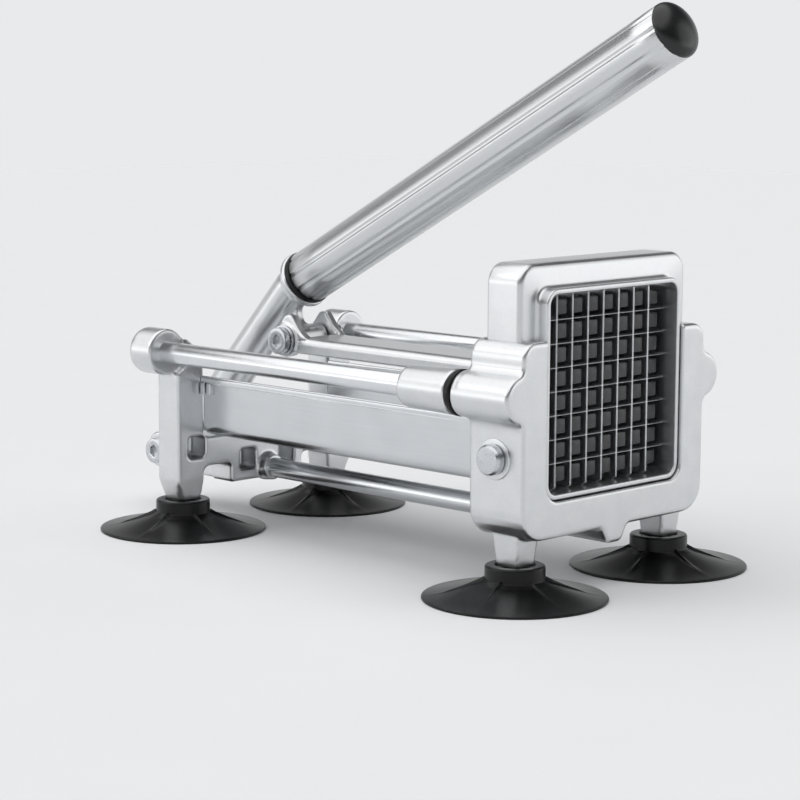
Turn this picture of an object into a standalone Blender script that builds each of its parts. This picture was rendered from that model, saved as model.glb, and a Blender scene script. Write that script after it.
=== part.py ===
"""French fry cutter: a lever press that drives a finger block through a grid of blades.

The model is laid out about the middle of the blade grid: X to the right seen from the
front, Y from the front to the back, Z up. One empty then puts the world origin on the
floor, under the middle of the whole cutter. Lengths are in metres.
"""

import math

import bmesh
import bpy
from mathutils import Matrix, Vector

MM = 0.001
DEG = math.pi / 180.0

# Fits shared by every piece
GAP = 0.3 * MM  # between two pieces that touch
OVERRUN = 1.0 * MM  # how far a cut runs past the face it opens
SINK = 1.5 * MM  # how far joined forms of one casting run into each other
DOME_STEPS = 4
WIDE_STEPS = 20  # sides of the widest turned pieces
ROUND_STEPS = 16
FINE_STEPS = 12
SMALL_STEPS = 10
HEX_SIDES = 6
ARC_STEPS = 3
EYE_ARC_STEPS = 5
BUMP_STEPS = 8

# Blade grid: 9.5 mm clear between blades of 0.5 mm
CELLS = 8
CELL_PITCH = 10.0 * MM
BLADE_THICKNESS = 0.5 * MM
BLADE_DEPTH = 16.0 * MM
BLADE_TONGUE = 4.0 * MM  # how far a blade's ends run into the cassette
BLADE_TONGUE_BACK = 3.0 * MM  # the ends start this far behind the cutting edge
GRID_HALF = CELLS * CELL_PITCH / 2

# Blade cassette, which lifts out of the front frame
CASSETTE_BORDER = 10.2 * MM  # from the rim out to the cassette's side
CASSETTE_FRONT = -0.7 * MM
CASSETTE_DEPTH = 18.7 * MM
CASSETTE_CORNER = 8.5 * MM
CASSETTE_EDGE_ROUND = 1.6 * MM
OPENING_CLEARANCE = 0.2 * MM
OPENING_CORNER = 3.4 * MM
SILL_CORNER = 0.9 * MM
RIM_LEDGE = 1.6 * MM  # from the opening out to the rim's wall
RIM_WALL = 2.0 * MM
RIM_HEIGHT = 5.9 * MM
DIMPLE_RADIUS = 3.0 * MM
DIMPLE_DEPTH = 1.5 * MM
OPENING_HALF = GRID_HALF + OPENING_CLEARANCE
MOUTH_HALF = OPENING_HALF + RIM_LEDGE
MOUTH_CORNER = OPENING_CORNER + RIM_LEDGE
RIM_HALF = MOUTH_HALF + RIM_WALL
RIM_CORNER = MOUTH_CORNER + RIM_WALL
CASSETTE_HALF = RIM_HALF + CASSETTE_BORDER
CASSETTE_BACK = CASSETTE_FRONT + CASSETTE_DEPTH

# Front frame, a U-shaped casting
FRAME_SIDE_WALL = 5.0 * MM
FRAME_FLOOR_WALL = 5.2 * MM
FRAME_FRONT_WALL = 7.0 * MM
FRAME_REAR_WALL = 3.7 * MM
FRAME_TOP = 23.0 * MM
FRAME_BOTTOM_CORNER = 12.0 * MM
ARM_OUTER_ROUND = 7.0 * MM
ARM_INNER_ROUND = 3.0 * MM
RIM_CLEARANCE = 0.5 * MM
FRAME_EDGE_ROUND = 1.3 * MM
LUG_ROOT = 17.0 * MM
LUG_TIP = 9.0 * MM
LUG_DROP = 7.0 * MM
LUG_ROUND = 3.2 * MM
FRAME_FRONT = CASSETTE_FRONT - GAP - FRAME_FRONT_WALL
FRAME_BACK = CASSETTE_BACK + GAP + FRAME_REAR_WALL
FRAME_HALF = CASSETTE_HALF + GAP + FRAME_SIDE_WALL
FRAME_BOTTOM = -(CASSETTE_HALF + GAP + FRAME_FLOOR_WALL)

# Guide rods and the tie rod under the tray
FOOT_INSET = 12.0 * MM  # from a guide rod in to the foot below it
ROD_OUTSET = 0.2 * MM  # from the front frame's side out to the middle of a guide rod
ROD_RADIUS = 5.0 * MM
ROD_CHAMFER = 0.6 * MM
ROD_SEAT = 1.2 * MM  # how deep the full width enters the front frame
ROD_STUD_RADIUS = 3.0 * MM
ROD_STUD_LENGTH = 12.0 * MM
FRONT_BOSS_RADIUS = 10.0 * MM
FRONT_BOSS_STEP = 0.3 * MM  # how far the boss stands inside the bump of the frame
FRONT_BOSS_FILLET = 4.0 * MM
FRONT_BOSS_LENGTH = 2.2 * MM
TIE_ROD_DROP = 0.7 * MM  # from the front frame's underside down to the middle of the tie rod
TIE_ROD_RADIUS = 4.75 * MM
ROD_SCREW_RADIUS = 2.0 * MM
ROD_SCREW_LENGTH = 16.0 * MM
SCREW_HEAD_RADIUS = 3.8 * MM
SCREW_HEAD_HEIGHT = 4.0 * MM
SCREW_SOCKET_SHARE = 0.45  # of the head's radius and height
SCREW_TOP_SHARE = 0.88
SCREW_EDGE_SHARE = 0.78
ROD_HALF = FRAME_HALF + ROD_OUTSET
FOOT_HALF = ROD_HALF - FOOT_INSET
TIE_ROD_HEIGHT = FRAME_BOTTOM - TIE_ROD_DROP
FRONT_BOSS_BACK = FRAME_BACK + FRONT_BOSS_LENGTH
ROD_FRONT = FRAME_BACK - ROD_SEAT

# Rear frame, a casting of two posts and a crossbar
TRAY_LENGTH = 186.7 * MM
POST_SIZE = 15.0 * MM  # from front to back
POST_WIDTH = 16.0 * MM
POST_OUTSET = 1.0 * MM  # from the middle of the foot out to the middle of the post
REAR_BOSS_SETBACK = 4.0 * MM  # from the posts' front face back to the boss's
REAR_BOSS_RADIUS = 10.8 * MM
REAR_BOSS_LENGTH = 16.0 * MM
REAR_BOSS_ROUND = 3.0 * MM
ROD_SOCKET_DEPTH = 7.0 * MM
CROSSBAR_TOP = -41.4 * MM
CROSSBAR_BOTTOM = -65.6 * MM
CROSSBAR_CENTRE = 23.1 * MM  # half the width that reaches the bottom
ARCH_TOP = -55.9 * MM
POST_BOTTOM = -61.0 * MM  # the post's own faces end here and taper down to the foot
POCKET_DEPTH = 11.0 * MM
TIE_BOSS_RADIUS = 6.8 * MM
TIE_BOSS_LENGTH = 5.0 * MM
TIE_BOSS_TAPER_SHARE = 0.9
SIDE_POCKET_INSET = 3.6 * MM  # from the middle of the post
SIDE_POCKET_HEIGHT = -46.2 * MM
SIDE_POCKET_HALF_WIDTH = 5.5 * MM
SIDE_POCKET_HALF_HEIGHT = 5.3 * MM
SIDE_POCKET_ROUND = 2.6 * MM
INNER_POCKET_PLACE = 12.5 * MM
INNER_POCKET_HEIGHT = -55.4 * MM
INNER_POCKET_HALF_WIDTH = 5.1 * MM
INNER_POCKET_HALF_HEIGHT = 5.2 * MM
INNER_POCKET_ROUND = 1.6 * MM
REAR_EDGE_ROUND = 1.2 * MM
CROSSBAR_FILLET = 3.0 * MM
POST_SHOULDER = -1.3 * MM  # the post's inner corner, where its top starts to slope up to the boss
POST_SHOULDER_ROUND = 5.0 * MM
POST_TOP = 7.9 * MM
POST_TOP_INSET = 6.3 * MM  # from the middle of the boss
POST_CREST = 5.6 * MM  # height of the post's outer corner inside the boss
ARCH_OUTER_ROUND = 4.0 * MM
ARCH_INNER_ROUND = 2.5 * MM
CENTRE_EDGE_ROUND = 1.5 * MM
TRAY_FRONT = FRAME_BACK + GAP
REAR_FRONT = TRAY_FRONT + TRAY_LENGTH + GAP
REAR_BACK = REAR_FRONT + POST_SIZE
REAR_BOSS_FRONT = REAR_FRONT + REAR_BOSS_SETBACK
POST_INNER = FOOT_HALF + POST_OUTSET - POST_WIDTH / 2
POST_OUTER = POST_INNER + POST_WIDTH

# Lever pivot lugs behind the crossbar
PIVOT_REACH = 45.0 * MM  # from the posts' back face to the pivot
PIVOT_HEIGHT = -57.5 * MM
CHEEK_INNER = 12.0 * MM
CHEEK_THICKNESS = 6.0 * MM
CHEEK_EYE_RADIUS = 8.5 * MM
CHEEK_TOP = -45.0 * MM
CHEEK_SHOULDER = 14.0 * MM
PIVOT = Vector((0, REAR_BACK + PIVOT_REACH, PIVOT_HEIGHT))

# Feet
FRONT_FOOT_PLACE = 6.2 * MM
FOOT_BOSS_RADIUS = 7.6 * MM
FOOT_BOSS_ROOT_RADIUS = 9.2 * MM
FOOT_BOSS_END = -71.8 * MM
FOOT_BOSS_ROOT = -54.0 * MM
FOOT_POST_END = -69.8 * MM  # the square post ends here in the round boss
FOOT_POST_HALF = 5.9 * MM
FRONT_POST_HALF = 7.3 * MM  # at the root under the front frame
STUD_RADIUS = 4.0 * MM
STUD_LENGTH = 17.0 * MM
CUP_RADIUS = 39.0 * MM
CUP_HEIGHT = 14.5 * MM
CUP_COLLAR_RADIUS = 12.7 * MM
CUP_COLLAR_HEIGHT = 6.4 * MM
CUP_RECESS_DEPTH = 1.1 * MM
CUP_RECESS_CLEARANCE = 0.7 * MM
CUP_LIP = 1.1 * MM
CUP_WALL = 2.2 * MM
CUP_SKIRT_SHARES = ((0.11, 0.84), (0.33, 0.56), (0.67, 0.19))  # (out, up) of the cone
REAR_FOOT_PLACE = REAR_FRONT + POST_SIZE / 2
CUP_TOP = FOOT_BOSS_END - GAP + CUP_RECESS_DEPTH
FLOOR = CUP_TOP - CUP_HEIGHT
STUD_FOOT = FLOOR + CUP_HEIGHT - CUP_COLLAR_HEIGHT + GAP

# Tray, a folded sheet
TRAY_THICKNESS = 0.8 * MM
TRAY_TOP = -12.6 * MM
TRAY_FLOOR_STEP = 0.2 * MM  # the tray's floor lies this far above the grid's edge
TRAY_CORNER = 5.0 * MM
TRAY_HALF = OPENING_HALF + TRAY_THICKNESS
TRAY_BOTTOM = TRAY_FLOOR_STEP - GRID_HALF - TRAY_THICKNESS
HEM_GAP = 0.6 * MM
HEM_HEIGHT = 2.8 * MM
CATCH_LENGTH = 7.0 * MM
CATCH_HEIGHT = 5.5 * MM
CATCH_REACH = 2.4 * MM
CATCH_DROP = 2.7 * MM
CATCH_SLOT = 1.4 * MM

# Pusher block with one finger for each cell
FINGER_WIDTH = 8.2 * MM
FINGER_TIP = 6.0 * MM
FINGER_TAPER = 4.0 * MM  # the length over which the tip narrows
FINGER_CORNER_SHARE = 0.5  # of the half width, left beside the cut corner of a corner finger
FINGER_LENGTH = 19.0 * MM
TIP_BEHIND_EDGE = 1.8 * MM
FINGER_SINK = 1.0 * MM  # how far the fingers' roots run into the base plate
PUSHER_BASE = 6.2 * MM
PUSHER_MARGIN = 0.8 * MM  # between the base plate and the tray's walls
PUSHER_CORNER = 4.6 * MM
PUSHER_SCREW_PLACE = 25.0 * MM
PUSHER_SCREW_LENGTH = 13.0 * MM
PUSHER_HALF = OPENING_HALF - PUSHER_MARGIN
PUSHER_BASE_FRONT = TIP_BEHIND_EDGE + FINGER_LENGTH
PUSHER_BACK = PUSHER_BASE_FRONT + PUSHER_BASE

# Carriage that slides on the guide rods
CARRIAGE_PLATE = 5.0 * MM
CARRIAGE_MARGIN = 2.4 * MM  # the plate stands inside the pusher block by this much
CARRIAGE_CORNER = 7.0 * MM
BUMPER_THICKNESS = 3.0 * MM
BUMPER_RADIUS = 9.9 * MM
BUMPER_ROUND = 1.0 * MM
SLEEVE_LENGTH = 27.8 * MM
SLEEVE_FRONT_RADIUS = 9.8 * MM
SLEEVE_BACK_RADIUS = 9.0 * MM
SLEEVE_CHAMFER = 0.7 * MM
BUSHING_WALL = 1.5 * MM
ARM_HALF_HEIGHT = 5.5 * MM
ARM_ROOT_INSET = 6.0 * MM  # from the plate's side
ARM_STEP_INSET = 13.0 * MM  # from the middle of the guide rod
ARM_BACK_INSET = 2.8 * MM  # from the sleeve's back end
CARRIAGE_HALF = PUSHER_HALF - CARRIAGE_MARGIN
ARM_ROOT = CARRIAGE_HALF - ARM_ROOT_INSET
ARM_STEP = ROD_HALF - ARM_STEP_INSET
CARRIAGE_FRONT = PUSHER_BACK + GAP
CARRIAGE_BACK = CARRIAGE_FRONT + CARRIAGE_PLATE
SLEEVE_FRONT = FRONT_BOSS_BACK + GAP + BUMPER_THICKNESS + GAP
SLEEVE_BACK = SLEEVE_FRONT + SLEEVE_LENGTH
BUSHING_BORE = ROD_RADIUS + GAP
SLEEVE_BORE = BUSHING_BORE + BUSHING_WALL + GAP

# Connecting link between the lever and the carriage
TONGUE_REACH = 17.4 * MM  # from the carriage's back to the link's front pivot
LINK_WIDTH = 28.0 * MM
LINK_PRONG = 5.0 * MM
LINK_EYE_RADIUS = 8.0 * MM
LINK_TOP = 1.8 * MM  # above the line between its pivots
LINK_UNDER = 7.5 * MM
LINK_WEB = 3.5 * MM
LINK_SHOULDER = 3.2 * MM
LINK_EYE_PROUD = 0.5 * MM
LINK_FRONT_FORK = 16.0 * MM
LINK_REAR_FORK = 9.8 * MM
TONGUE_EYE_RADIUS = 8.5 * MM
TONGUE_DROP = 17.0 * MM  # how far the tongue's root reaches below the link's front pivot
TONGUE_ROUND = 4.2 * MM
LUG_BEHIND = 1.3 * MM  # the link's rear pivot, from the middle of the handle's gasket
LUG_BELOW = 28.8 * MM
# Outline of the ear over the rear pivot, (back, up) from it in shares of the link's width
EAR_SHARES = ((-0.5, 0.05), (-0.336, 0.164), (-0.118, 0.436), (0.021, 0.425), (0.196, 0.207), (0, 0))
TONGUE_HALF = LINK_WIDTH / 2 - LINK_PRONG - GAP

# Lever and handle
HANDLE_ANGLE = 28.1 * DEG  # above the horizontal, at rest
HANDLE_LENGTH = 242.0 * MM
HANDLE_RADIUS = 12.5 * MM
HANDLE_WALL = 2.0 * MM
FLUTE_COUNT = 10
FLUTE_DEPTH = 0.45 * MM
FLUTE_WIDTH = 2.6 * MM
FLUTE_TURN = 32 * DEG  # from the tube's right side to the middle of a flute
COLLAR_FORWARD = 88.4 * MM  # gasket centre, measured from the pivot
COLLAR_RISE = 90.9 * MM
COLLAR_RADIUS = 13.4 * MM
COLLAR_LENGTH = 2.2 * MM
COLLAR_FILLET = 1.6 * MM
GASKET_THICKNESS = 2.4 * MM
GASKET_RADIUS = 12.9 * MM
BEND_SETBACK = 11.0 * MM
LEVER_RADIUS = 9.2 * MM
LEVER_EYE_RADIUS = 10.5 * MM
LEVER_NECK = 17.0 * MM  # from the pivot to the start of the round arm
LEVER_NECK_END = 34.0 * MM  # the flat neck fades out in the arm by here
LEVER_NECK_HALF = 7.0 * MM
LEVER_NECK_SHARE = 0.55  # of the arm's radius, where the neck ends inside it
LUG_SPREAD_DOWN = 17.0 * MM  # how far the lug's root runs along the arm each way
LUG_SPREAD_UP = 17.0 * MM
LUG_WEB_HALF = 2.2 * MM
LUG_EYE_RADIUS = 6.5 * MM
BITE_FORWARD = 1.7 * MM  # the round bite in the lug's front, from the link's rear pivot
BITE_RISE = 11.9 * MM
BITE_RADIUS = 6.0 * MM
SPIGOT_LENGTH = 30.0 * MM
CAP_DOME = 6.0 * MM
CAP_PLUG = 12.0 * MM
CAP_PLUG_WALL = 2.0 * MM
COLLAR = Vector((0, PIVOT.y - COLLAR_FORWARD, PIVOT.z + COLLAR_RISE))
LINK_REAR = COLLAR + Vector((0, LUG_BEHIND, -LUG_BELOW))
LINK_FRONT = Vector((0, CARRIAGE_BACK + TONGUE_REACH, LINK_REAR.z))
HANDLE_AXIS = Vector((0, -math.cos(HANDLE_ANGLE), math.sin(HANDLE_ANGLE)))
BEND = COLLAR - HANDLE_AXIS * BEND_SETBACK
HANDLE_START = COLLAR + HANDLE_AXIS * (GASKET_THICKNESS / 2 + GAP)
HANDLE_END = HANDLE_START + HANDLE_AXIS * HANDLE_LENGTH

# Pivot bolts with socket heads
BOLT_RADIUS = 4.0 * MM
BOLT_HEAD_RADIUS = 6.2 * MM
BOLT_HEAD_HEIGHT = 3.4 * MM
NUT_RADIUS = 7.0 * MM
NUT_HEIGHT = 4.5 * MM
WASHER_RADIUS = 7.2 * MM
WASHER_THICKNESS = 1.2 * MM
FRONT_PIN_RADIUS = 3.5 * MM

# Lock knob in the near side of the front frame
KNOB_BACK = 7.5 * MM  # the knob's place behind the cutting edge, and its height
KNOB_HEIGHT = -25.6 * MM
KNOB_RADIUS = 6.5 * MM
KNOB_THICKNESS = 4.0 * MM
KNOB_ROUND = 1.0 * MM
KNOB_PAD_RADIUS = 8.7 * MM
KNOB_PAD_HEIGHT = 0.8 * MM
PLUNGER_RADIUS = 2.5 * MM
PLUNGER_COLLAR_RADIUS = 3.9 * MM
PLUNGER_COLLAR = 0.9 * MM
SPRING_CHAMBER = 4.2 * MM
SPRING_WIRE = 0.2 * MM  # radius
SPRING_TURNS = 3
SPRING_POINTS = 8  # along each turn
SPRING_CLEARANCE = 0.25 * MM

# Colours, roughness and metallic value of each finish
CAST_ALUMINIUM = ("cast_aluminium", (0.62, 0.63, 0.64), 0.38, 1.0)
POLISHED_STEEL = ("polished_steel", (0.72, 0.73, 0.74), 0.14, 1.0)
SATIN_STEEL = ("satin_steel", (0.66, 0.67, 0.68), 0.3, 1.0)
DRAWN_ALUMINIUM = ("drawn_aluminium", (0.68, 0.69, 0.7), 0.28, 1.0)
BLACK_RUBBER = ("black_rubber", (0.02, 0.02, 0.02), 0.6, 0.0)
BLACK_PLASTIC = ("black_plastic", (0.03, 0.03, 0.032), 0.45, 0.0)
NYLON = ("nylon", (0.75, 0.74, 0.7), 0.5, 0.0)

PLACES = {}  # where each empty lies, from the middle of the grid


def clear_scene():
    for obj in list(bpy.data.objects):
        bpy.data.objects.remove(obj)


def collection(name):
    made = bpy.data.collections.new(name)
    bpy.context.scene.collection.children.link(made)
    return made


def material(finish):
    name, colour, roughness, metallic = finish
    found = bpy.data.materials.get(name)
    if found:
        return found
    made = bpy.data.materials.new(name)
    made.use_nodes = True
    shader = made.node_tree.nodes["Principled BSDF"]
    shader.inputs["Base Color"].default_value = (*colour, 1.0)
    shader.inputs["Roughness"].default_value = roughness
    shader.inputs["Metallic"].default_value = metallic
    return made


def empty(name, place, parent=None):
    """An empty at a place measured from the middle of the grid."""
    made = bpy.data.objects.new(name, None)
    pieces.objects.link(made)
    PLACES[name] = Vector(place)
    made.location = PLACES[name]
    if parent:
        made.parent = parent
        made.location = PLACES[name] - PLACES[parent.name]
    return made


def hang(obj, carrier):
    """Parents an object to an empty and leaves it where it is."""
    obj.parent = carrier
    obj.location = obj.location - PLACES[carrier.name]


def piece(name, mesh, finish, carrier, place=(0, 0, 0), turn=None):
    obj = bpy.data.objects.new(name, mesh)
    pieces.objects.link(obj)
    obj.location = place
    if turn:
        obj.rotation_euler = turn.to_euler()
    hang(obj, carrier)
    mesh.materials.append(material(finish))
    return obj


def helper(name, mesh, carrier, place=(0, 0, 0), turn=None):
    """A hidden form that is cut from a piece, or joined to it."""
    obj = bpy.data.objects.new(name, mesh)
    cutters.objects.link(obj)
    obj.location = place
    if turn:
        obj.rotation_euler = turn.to_euler()
    obj.hide_render = True
    obj.display_type = "WIRE"
    hang(obj, carrier)
    return obj


def combine(obj, other, operation):
    step = obj.modifiers.new(other.name, "BOOLEAN")
    step.operation = operation
    step.object = other


def cut(obj, other):
    combine(obj, other, "DIFFERENCE")


def join(obj, other):
    combine(obj, other, "UNION")


def round_edges(obj, width, segments=1):
    step = obj.modifiers.new("edge_round", "BEVEL")
    step.width = width
    step.segments = segments
    step.limit_method = "ANGLE"
    step.angle_limit = 50 * DEG


def turn_to(axis):
    """The turn that brings +Z onto an axis."""
    return Vector((0, 0, 1)).rotation_difference(Vector(axis))


def arc(centre_u, centre_v, radius, start, end, steps=ARC_STEPS):
    angles = [start + (end - start) * k / steps for k in range(steps + 1)]
    return [(centre_u + radius * math.cos(a), centre_v + radius * math.sin(a)) for a in angles]


def rounded(corners, steps=ARC_STEPS):
    """Turns corners (u, v, radius) into outline points, each corner an arc between its sides."""
    points = []
    for i, (u, v, radius) in enumerate(corners):
        corner = Vector((u, v))
        if not radius:
            points.append((u, v))
            continue
        to_last = (Vector(corners[i - 1][:2]) - corner).normalized()
        to_next = (Vector(corners[(i + 1) % len(corners)][:2]) - corner).normalized()
        half = to_last.angle(to_next) / 2
        centre = corner + (to_last + to_next).normalized() * (radius / math.sin(half))
        first = corner + to_last * (radius / math.tan(half)) - centre
        last = corner + to_next * (radius / math.tan(half)) - centre
        start = math.atan2(first.y, first.x)
        sweep = math.remainder(math.atan2(last.y, last.x) - start, 2 * math.pi)
        points += arc(centre.x, centre.y, radius, start, start + sweep, steps)
    return points


def rectangle(u_low, u_high, v_low, v_high, radius=0.0, steps=ARC_STEPS):
    corners = ((u_low, v_low), (u_high, v_low), (u_high, v_high), (u_low, v_high))
    return rounded([(u, v, radius) for u, v in corners], steps)


def mirrored(right_half):
    """A whole outline from its right half, given from the top down to the bottom."""
    return right_half + [(-corner[0], *corner[1:]) for corner in reversed(right_half)]


PLANES = {
    "XY": Matrix(((1, 0, 0), (0, 1, 0), (0, 0, 1))),
    "XZ": Matrix(((1, 0, 0), (0, 0, -1), (0, 1, 0))),
    "YZ": Matrix(((0, 0, 1), (1, 0, 0), (0, 1, 0))),
}


def prism(outlines, plane, low, high):
    """A flat outline, with any holes, given a thickness from low to high across its plane."""
    curve = bpy.data.curves.new("outline", "CURVE")
    curve.dimensions = "2D"
    curve.fill_mode = "BOTH"
    curve.extrude = (high - low) / 2
    for outline in outlines:
        spline = curve.splines.new("POLY")
        spline.points.add(len(outline) - 1)
        for point, (u, v) in zip(spline.points, outline):
            point.co = (u, v, 0, 1)
        spline.use_cyclic_u = True
    drawn = bpy.data.objects.new("outline", curve)
    bpy.context.scene.collection.objects.link(drawn)
    graph = bpy.context.evaluated_depsgraph_get()
    mesh = bpy.data.meshes.new_from_object(drawn.evaluated_get(graph))
    bpy.data.objects.remove(drawn)
    bpy.data.curves.remove(curve)
    work = bmesh.new()
    work.from_mesh(mesh)
    bmesh.ops.remove_doubles(work, verts=work.verts, dist=0.001 * MM)
    bmesh.ops.dissolve_limit(
        work, angle_limit=0.5 * DEG, verts=work.verts, edges=work.edges, use_dissolve_boundaries=False
    )
    across = PLANES[plane] @ Vector((0, 0, 1))
    middle = (low + high) / 2 * sum(across)
    work.transform(Matrix.Translation(across * middle) @ PLANES[plane].to_4x4())
    bmesh.ops.recalc_face_normals(work, faces=work.faces)
    work.to_mesh(mesh)
    work.free()
    return mesh


def box(low, high):
    mesh = bpy.data.meshes.new("box")
    work = bmesh.new()
    bmesh.ops.create_cube(work, size=1.0)
    low, high = Vector(low), Vector(high)
    work.transform(Matrix.Translation((low + high) / 2) @ Matrix.Diagonal((*(high - low), 1.0)))
    work.to_mesh(mesh)
    work.free()
    return mesh


def rod(start, end, radius, steps=ROUND_STEPS, end_radius=None):
    """A cylinder or cone between two points, turned by half a side against the turned forms."""
    start, end = Vector(start), Vector(end)
    mesh = bpy.data.meshes.new("rod")
    work = bmesh.new()
    bmesh.ops.create_cone(
        work,
        cap_ends=True,
        segments=steps,
        radius1=radius,
        radius2=radius if end_radius is None else end_radius,
        depth=(end - start).length,
    )
    work.transform(Matrix.Rotation(math.pi / steps, 4, "Z"))
    work.transform(Matrix.Translation((start + end) / 2) @ turn_to(end - start).to_matrix().to_4x4())
    work.to_mesh(mesh)
    work.free()
    return mesh


def profile(points, ring=False):
    """The edges of a turned profile. A solid one starts and ends on the axis; a ring is closed."""
    mesh = bpy.data.meshes.new("profile")
    links = [(k, k + 1) for k in range(len(points) - 1)]
    if ring:
        links.append((len(points) - 1, 0))
    mesh.from_pydata([(radius, 0, height) for radius, height in points], links, [])
    return mesh


def spin(obj, steps=ROUND_STEPS):
    step = obj.modifiers.new("turned", "SCREW")
    step.axis = "Z"
    step.angle = 2 * math.pi
    step.steps = steps
    step.render_steps = steps
    step.use_merge_vertices = True
    step.merge_threshold = 0.01 * MM
    step.use_smooth_shade = True


def turned(name, points, finish, carrier, place, axis, ring=False, steps=ROUND_STEPS):
    """A piece turned about an axis through a place, from (radius, height) points, top first."""
    obj = piece(name, profile(points, ring), finish, carrier, place, turn_to(axis))
    spin(obj, steps)
    return obj


def shade(obj):
    """Smooth shading that keeps the edges over 35 degrees."""
    obj.data.shade_smooth()
    obj.data.set_sharp_from_angle(angle=35 * DEG)


def front_boss_bump():
    """The rounded bump of a rod boss on the frame's right side, from the top down."""
    offset = FRAME_HALF + FRONT_BOSS_FILLET - ROD_HALF
    reach = FRONT_BOSS_RADIUS + FRONT_BOSS_FILLET
    height = math.sqrt(reach**2 - offset**2)
    tilt = math.atan2(height, offset)
    top = arc(FRAME_HALF + FRONT_BOSS_FILLET, height, FRONT_BOSS_FILLET, math.pi, math.pi + tilt)
    nose = arc(ROD_HALF, 0, FRONT_BOSS_RADIUS, tilt, -tilt, BUMP_STEPS)
    foot = [(x, -z) for x, z in reversed(top)]
    return [(x, z, 0) for x, z in top[:-1] + nose + foot[1:]]


def foot_boss(casting, side, place, root_inner, root_outer, root_half):
    """The tapered boss of a casting that a suction foot screws into: a square post, round below."""
    x = side * FOOT_HALF
    root, end = (x, place, FOOT_BOSS_ROOT), (x, place, FOOT_BOSS_END)
    boss = rod(root, end, FOOT_BOSS_ROOT_RADIUS, FINE_STEPS, FOOT_BOSS_RADIUS)
    join(casting, helper("foot_boss", boss, base))
    post = bpy.data.meshes.new("foot_post")
    work = bmesh.new()
    bmesh.ops.create_cube(work, size=2.0)
    low = FOOT_HALF - FOOT_POST_HALF, FOOT_HALF + FOOT_POST_HALF, FOOT_POST_HALF, FOOT_POST_END
    high = root_inner, root_outer, root_half, FOOT_BOSS_ROOT - SINK
    for vert in work.verts:
        inner, outer, half, height = high if vert.co.z > 0 else low
        across = outer if vert.co.x > 0 else inner
        vert.co = (side * across, place + half * vert.co.y, height)
    bmesh.ops.recalc_face_normals(work, faces=work.faces)
    work.to_mesh(post)
    work.free()
    join(casting, helper("foot_post", post, base))
    bore_top = STUD_FOOT + STUD_LENGTH + GAP
    bore = rod((x, place, bore_top), (x, place, FOOT_BOSS_END - OVERRUN), STUD_RADIUS + GAP, SMALL_STEPS)
    cut(casting, helper("foot_bore", bore, base))


def front_frame():
    """The U-shaped casting that holds the cassette and the front ends of the rods."""
    sill = -(OPENING_HALF + GAP)
    half = [
        (OPENING_HALF + GAP, FRAME_TOP, ARM_INNER_ROUND),
        (FRAME_HALF, FRAME_TOP, ARM_OUTER_ROUND),
        *front_boss_bump(),
        (FRAME_HALF, FRAME_BOTTOM, FRAME_BOTTOM_CORNER),
        (LUG_ROOT / 2, FRAME_BOTTOM, LUG_ROUND),
        (LUG_TIP / 2, FRAME_BOTTOM - LUG_DROP, LUG_ROUND),
    ]
    outline = mirrored(half) + [(-OPENING_HALF - GAP, sill, SILL_CORNER)]
    outline.append((OPENING_HALF + GAP, sill, SILL_CORNER))
    frame = piece(
        "front_frame", prism([rounded(outline)], "XZ", FRAME_FRONT, FRAME_BACK), CAST_ALUMINIUM, base
    )
    round_edges(frame, FRAME_EDGE_ROUND)
    for side in (-1, 1):
        x = side * ROD_HALF
        boss = rod((x, FRAME_BACK - SINK, 0), (x, FRONT_BOSS_BACK, 0), FRONT_BOSS_RADIUS - FRONT_BOSS_STEP)
        join(frame, helper("rod_boss", boss, base))
        half = FRONT_POST_HALF
        foot_boss(frame, side, FRONT_FOOT_PLACE, FOOT_HALF - half, FOOT_HALF + half, half)
    pad_face = -FRAME_HALF - KNOB_PAD_HEIGHT
    at = (KNOB_BACK, KNOB_HEIGHT)
    pad = rod((-FRAME_HALF + SINK, *at), (pad_face, *at), KNOB_PAD_RADIUS)
    join(frame, helper("knob_pad", pad, base))
    slot_half = CASSETTE_HALF + GAP
    slot = rectangle(-slot_half, slot_half, -slot_half, FRAME_TOP + CASSETTE_HALF, CASSETTE_CORNER)
    cut(frame, helper("cassette_slot", prism([slot], "XZ", CASSETTE_FRONT - GAP, CASSETTE_BACK + GAP), base))
    window_half = RIM_HALF + RIM_CLEARANCE
    window = rectangle(
        -window_half, window_half, -window_half, FRAME_TOP + CASSETTE_HALF, RIM_CORNER + RIM_CLEARANCE
    )
    depth = (FRAME_FRONT - OVERRUN, CASSETTE_FRONT)
    cut(frame, helper("front_window", prism([window], "XZ", *depth), base))
    for x, z, radius, back in (
        (-ROD_HALF, 0, ROD_RADIUS, FRONT_BOSS_BACK),
        (ROD_HALF, 0, ROD_RADIUS, FRONT_BOSS_BACK),
        (0, TIE_ROD_HEIGHT, TIE_ROD_RADIUS, FRAME_BACK),
    ):
        seat = rod((x, ROD_FRONT - GAP, z), (x, back + OVERRUN, z), radius + GAP)
        cut(frame, helper("rod_seat", seat, base))
        stud = ROD_FRONT - ROD_STUD_LENGTH - GAP
        hole = rod((x, stud, z), (x, ROD_FRONT, z), ROD_STUD_RADIUS + GAP, SMALL_STEPS)
        cut(frame, helper("stud_hole", hole, base))
    hole = rod((-CASSETTE_HALF, *at), (pad_face - OVERRUN, *at), PLUNGER_RADIUS + GAP, SMALL_STEPS)
    cut(frame, helper("plunger_hole", hole, base))
    chamber_end = -CASSETTE_HALF - GAP - SPRING_CHAMBER
    chamber = rod((-CASSETTE_HALF, *at), (chamber_end, *at), PLUNGER_COLLAR_RADIUS + GAP, SMALL_STEPS)
    cut(frame, helper("spring_chamber", chamber, base))
    shade(frame)
    return frame


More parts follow.
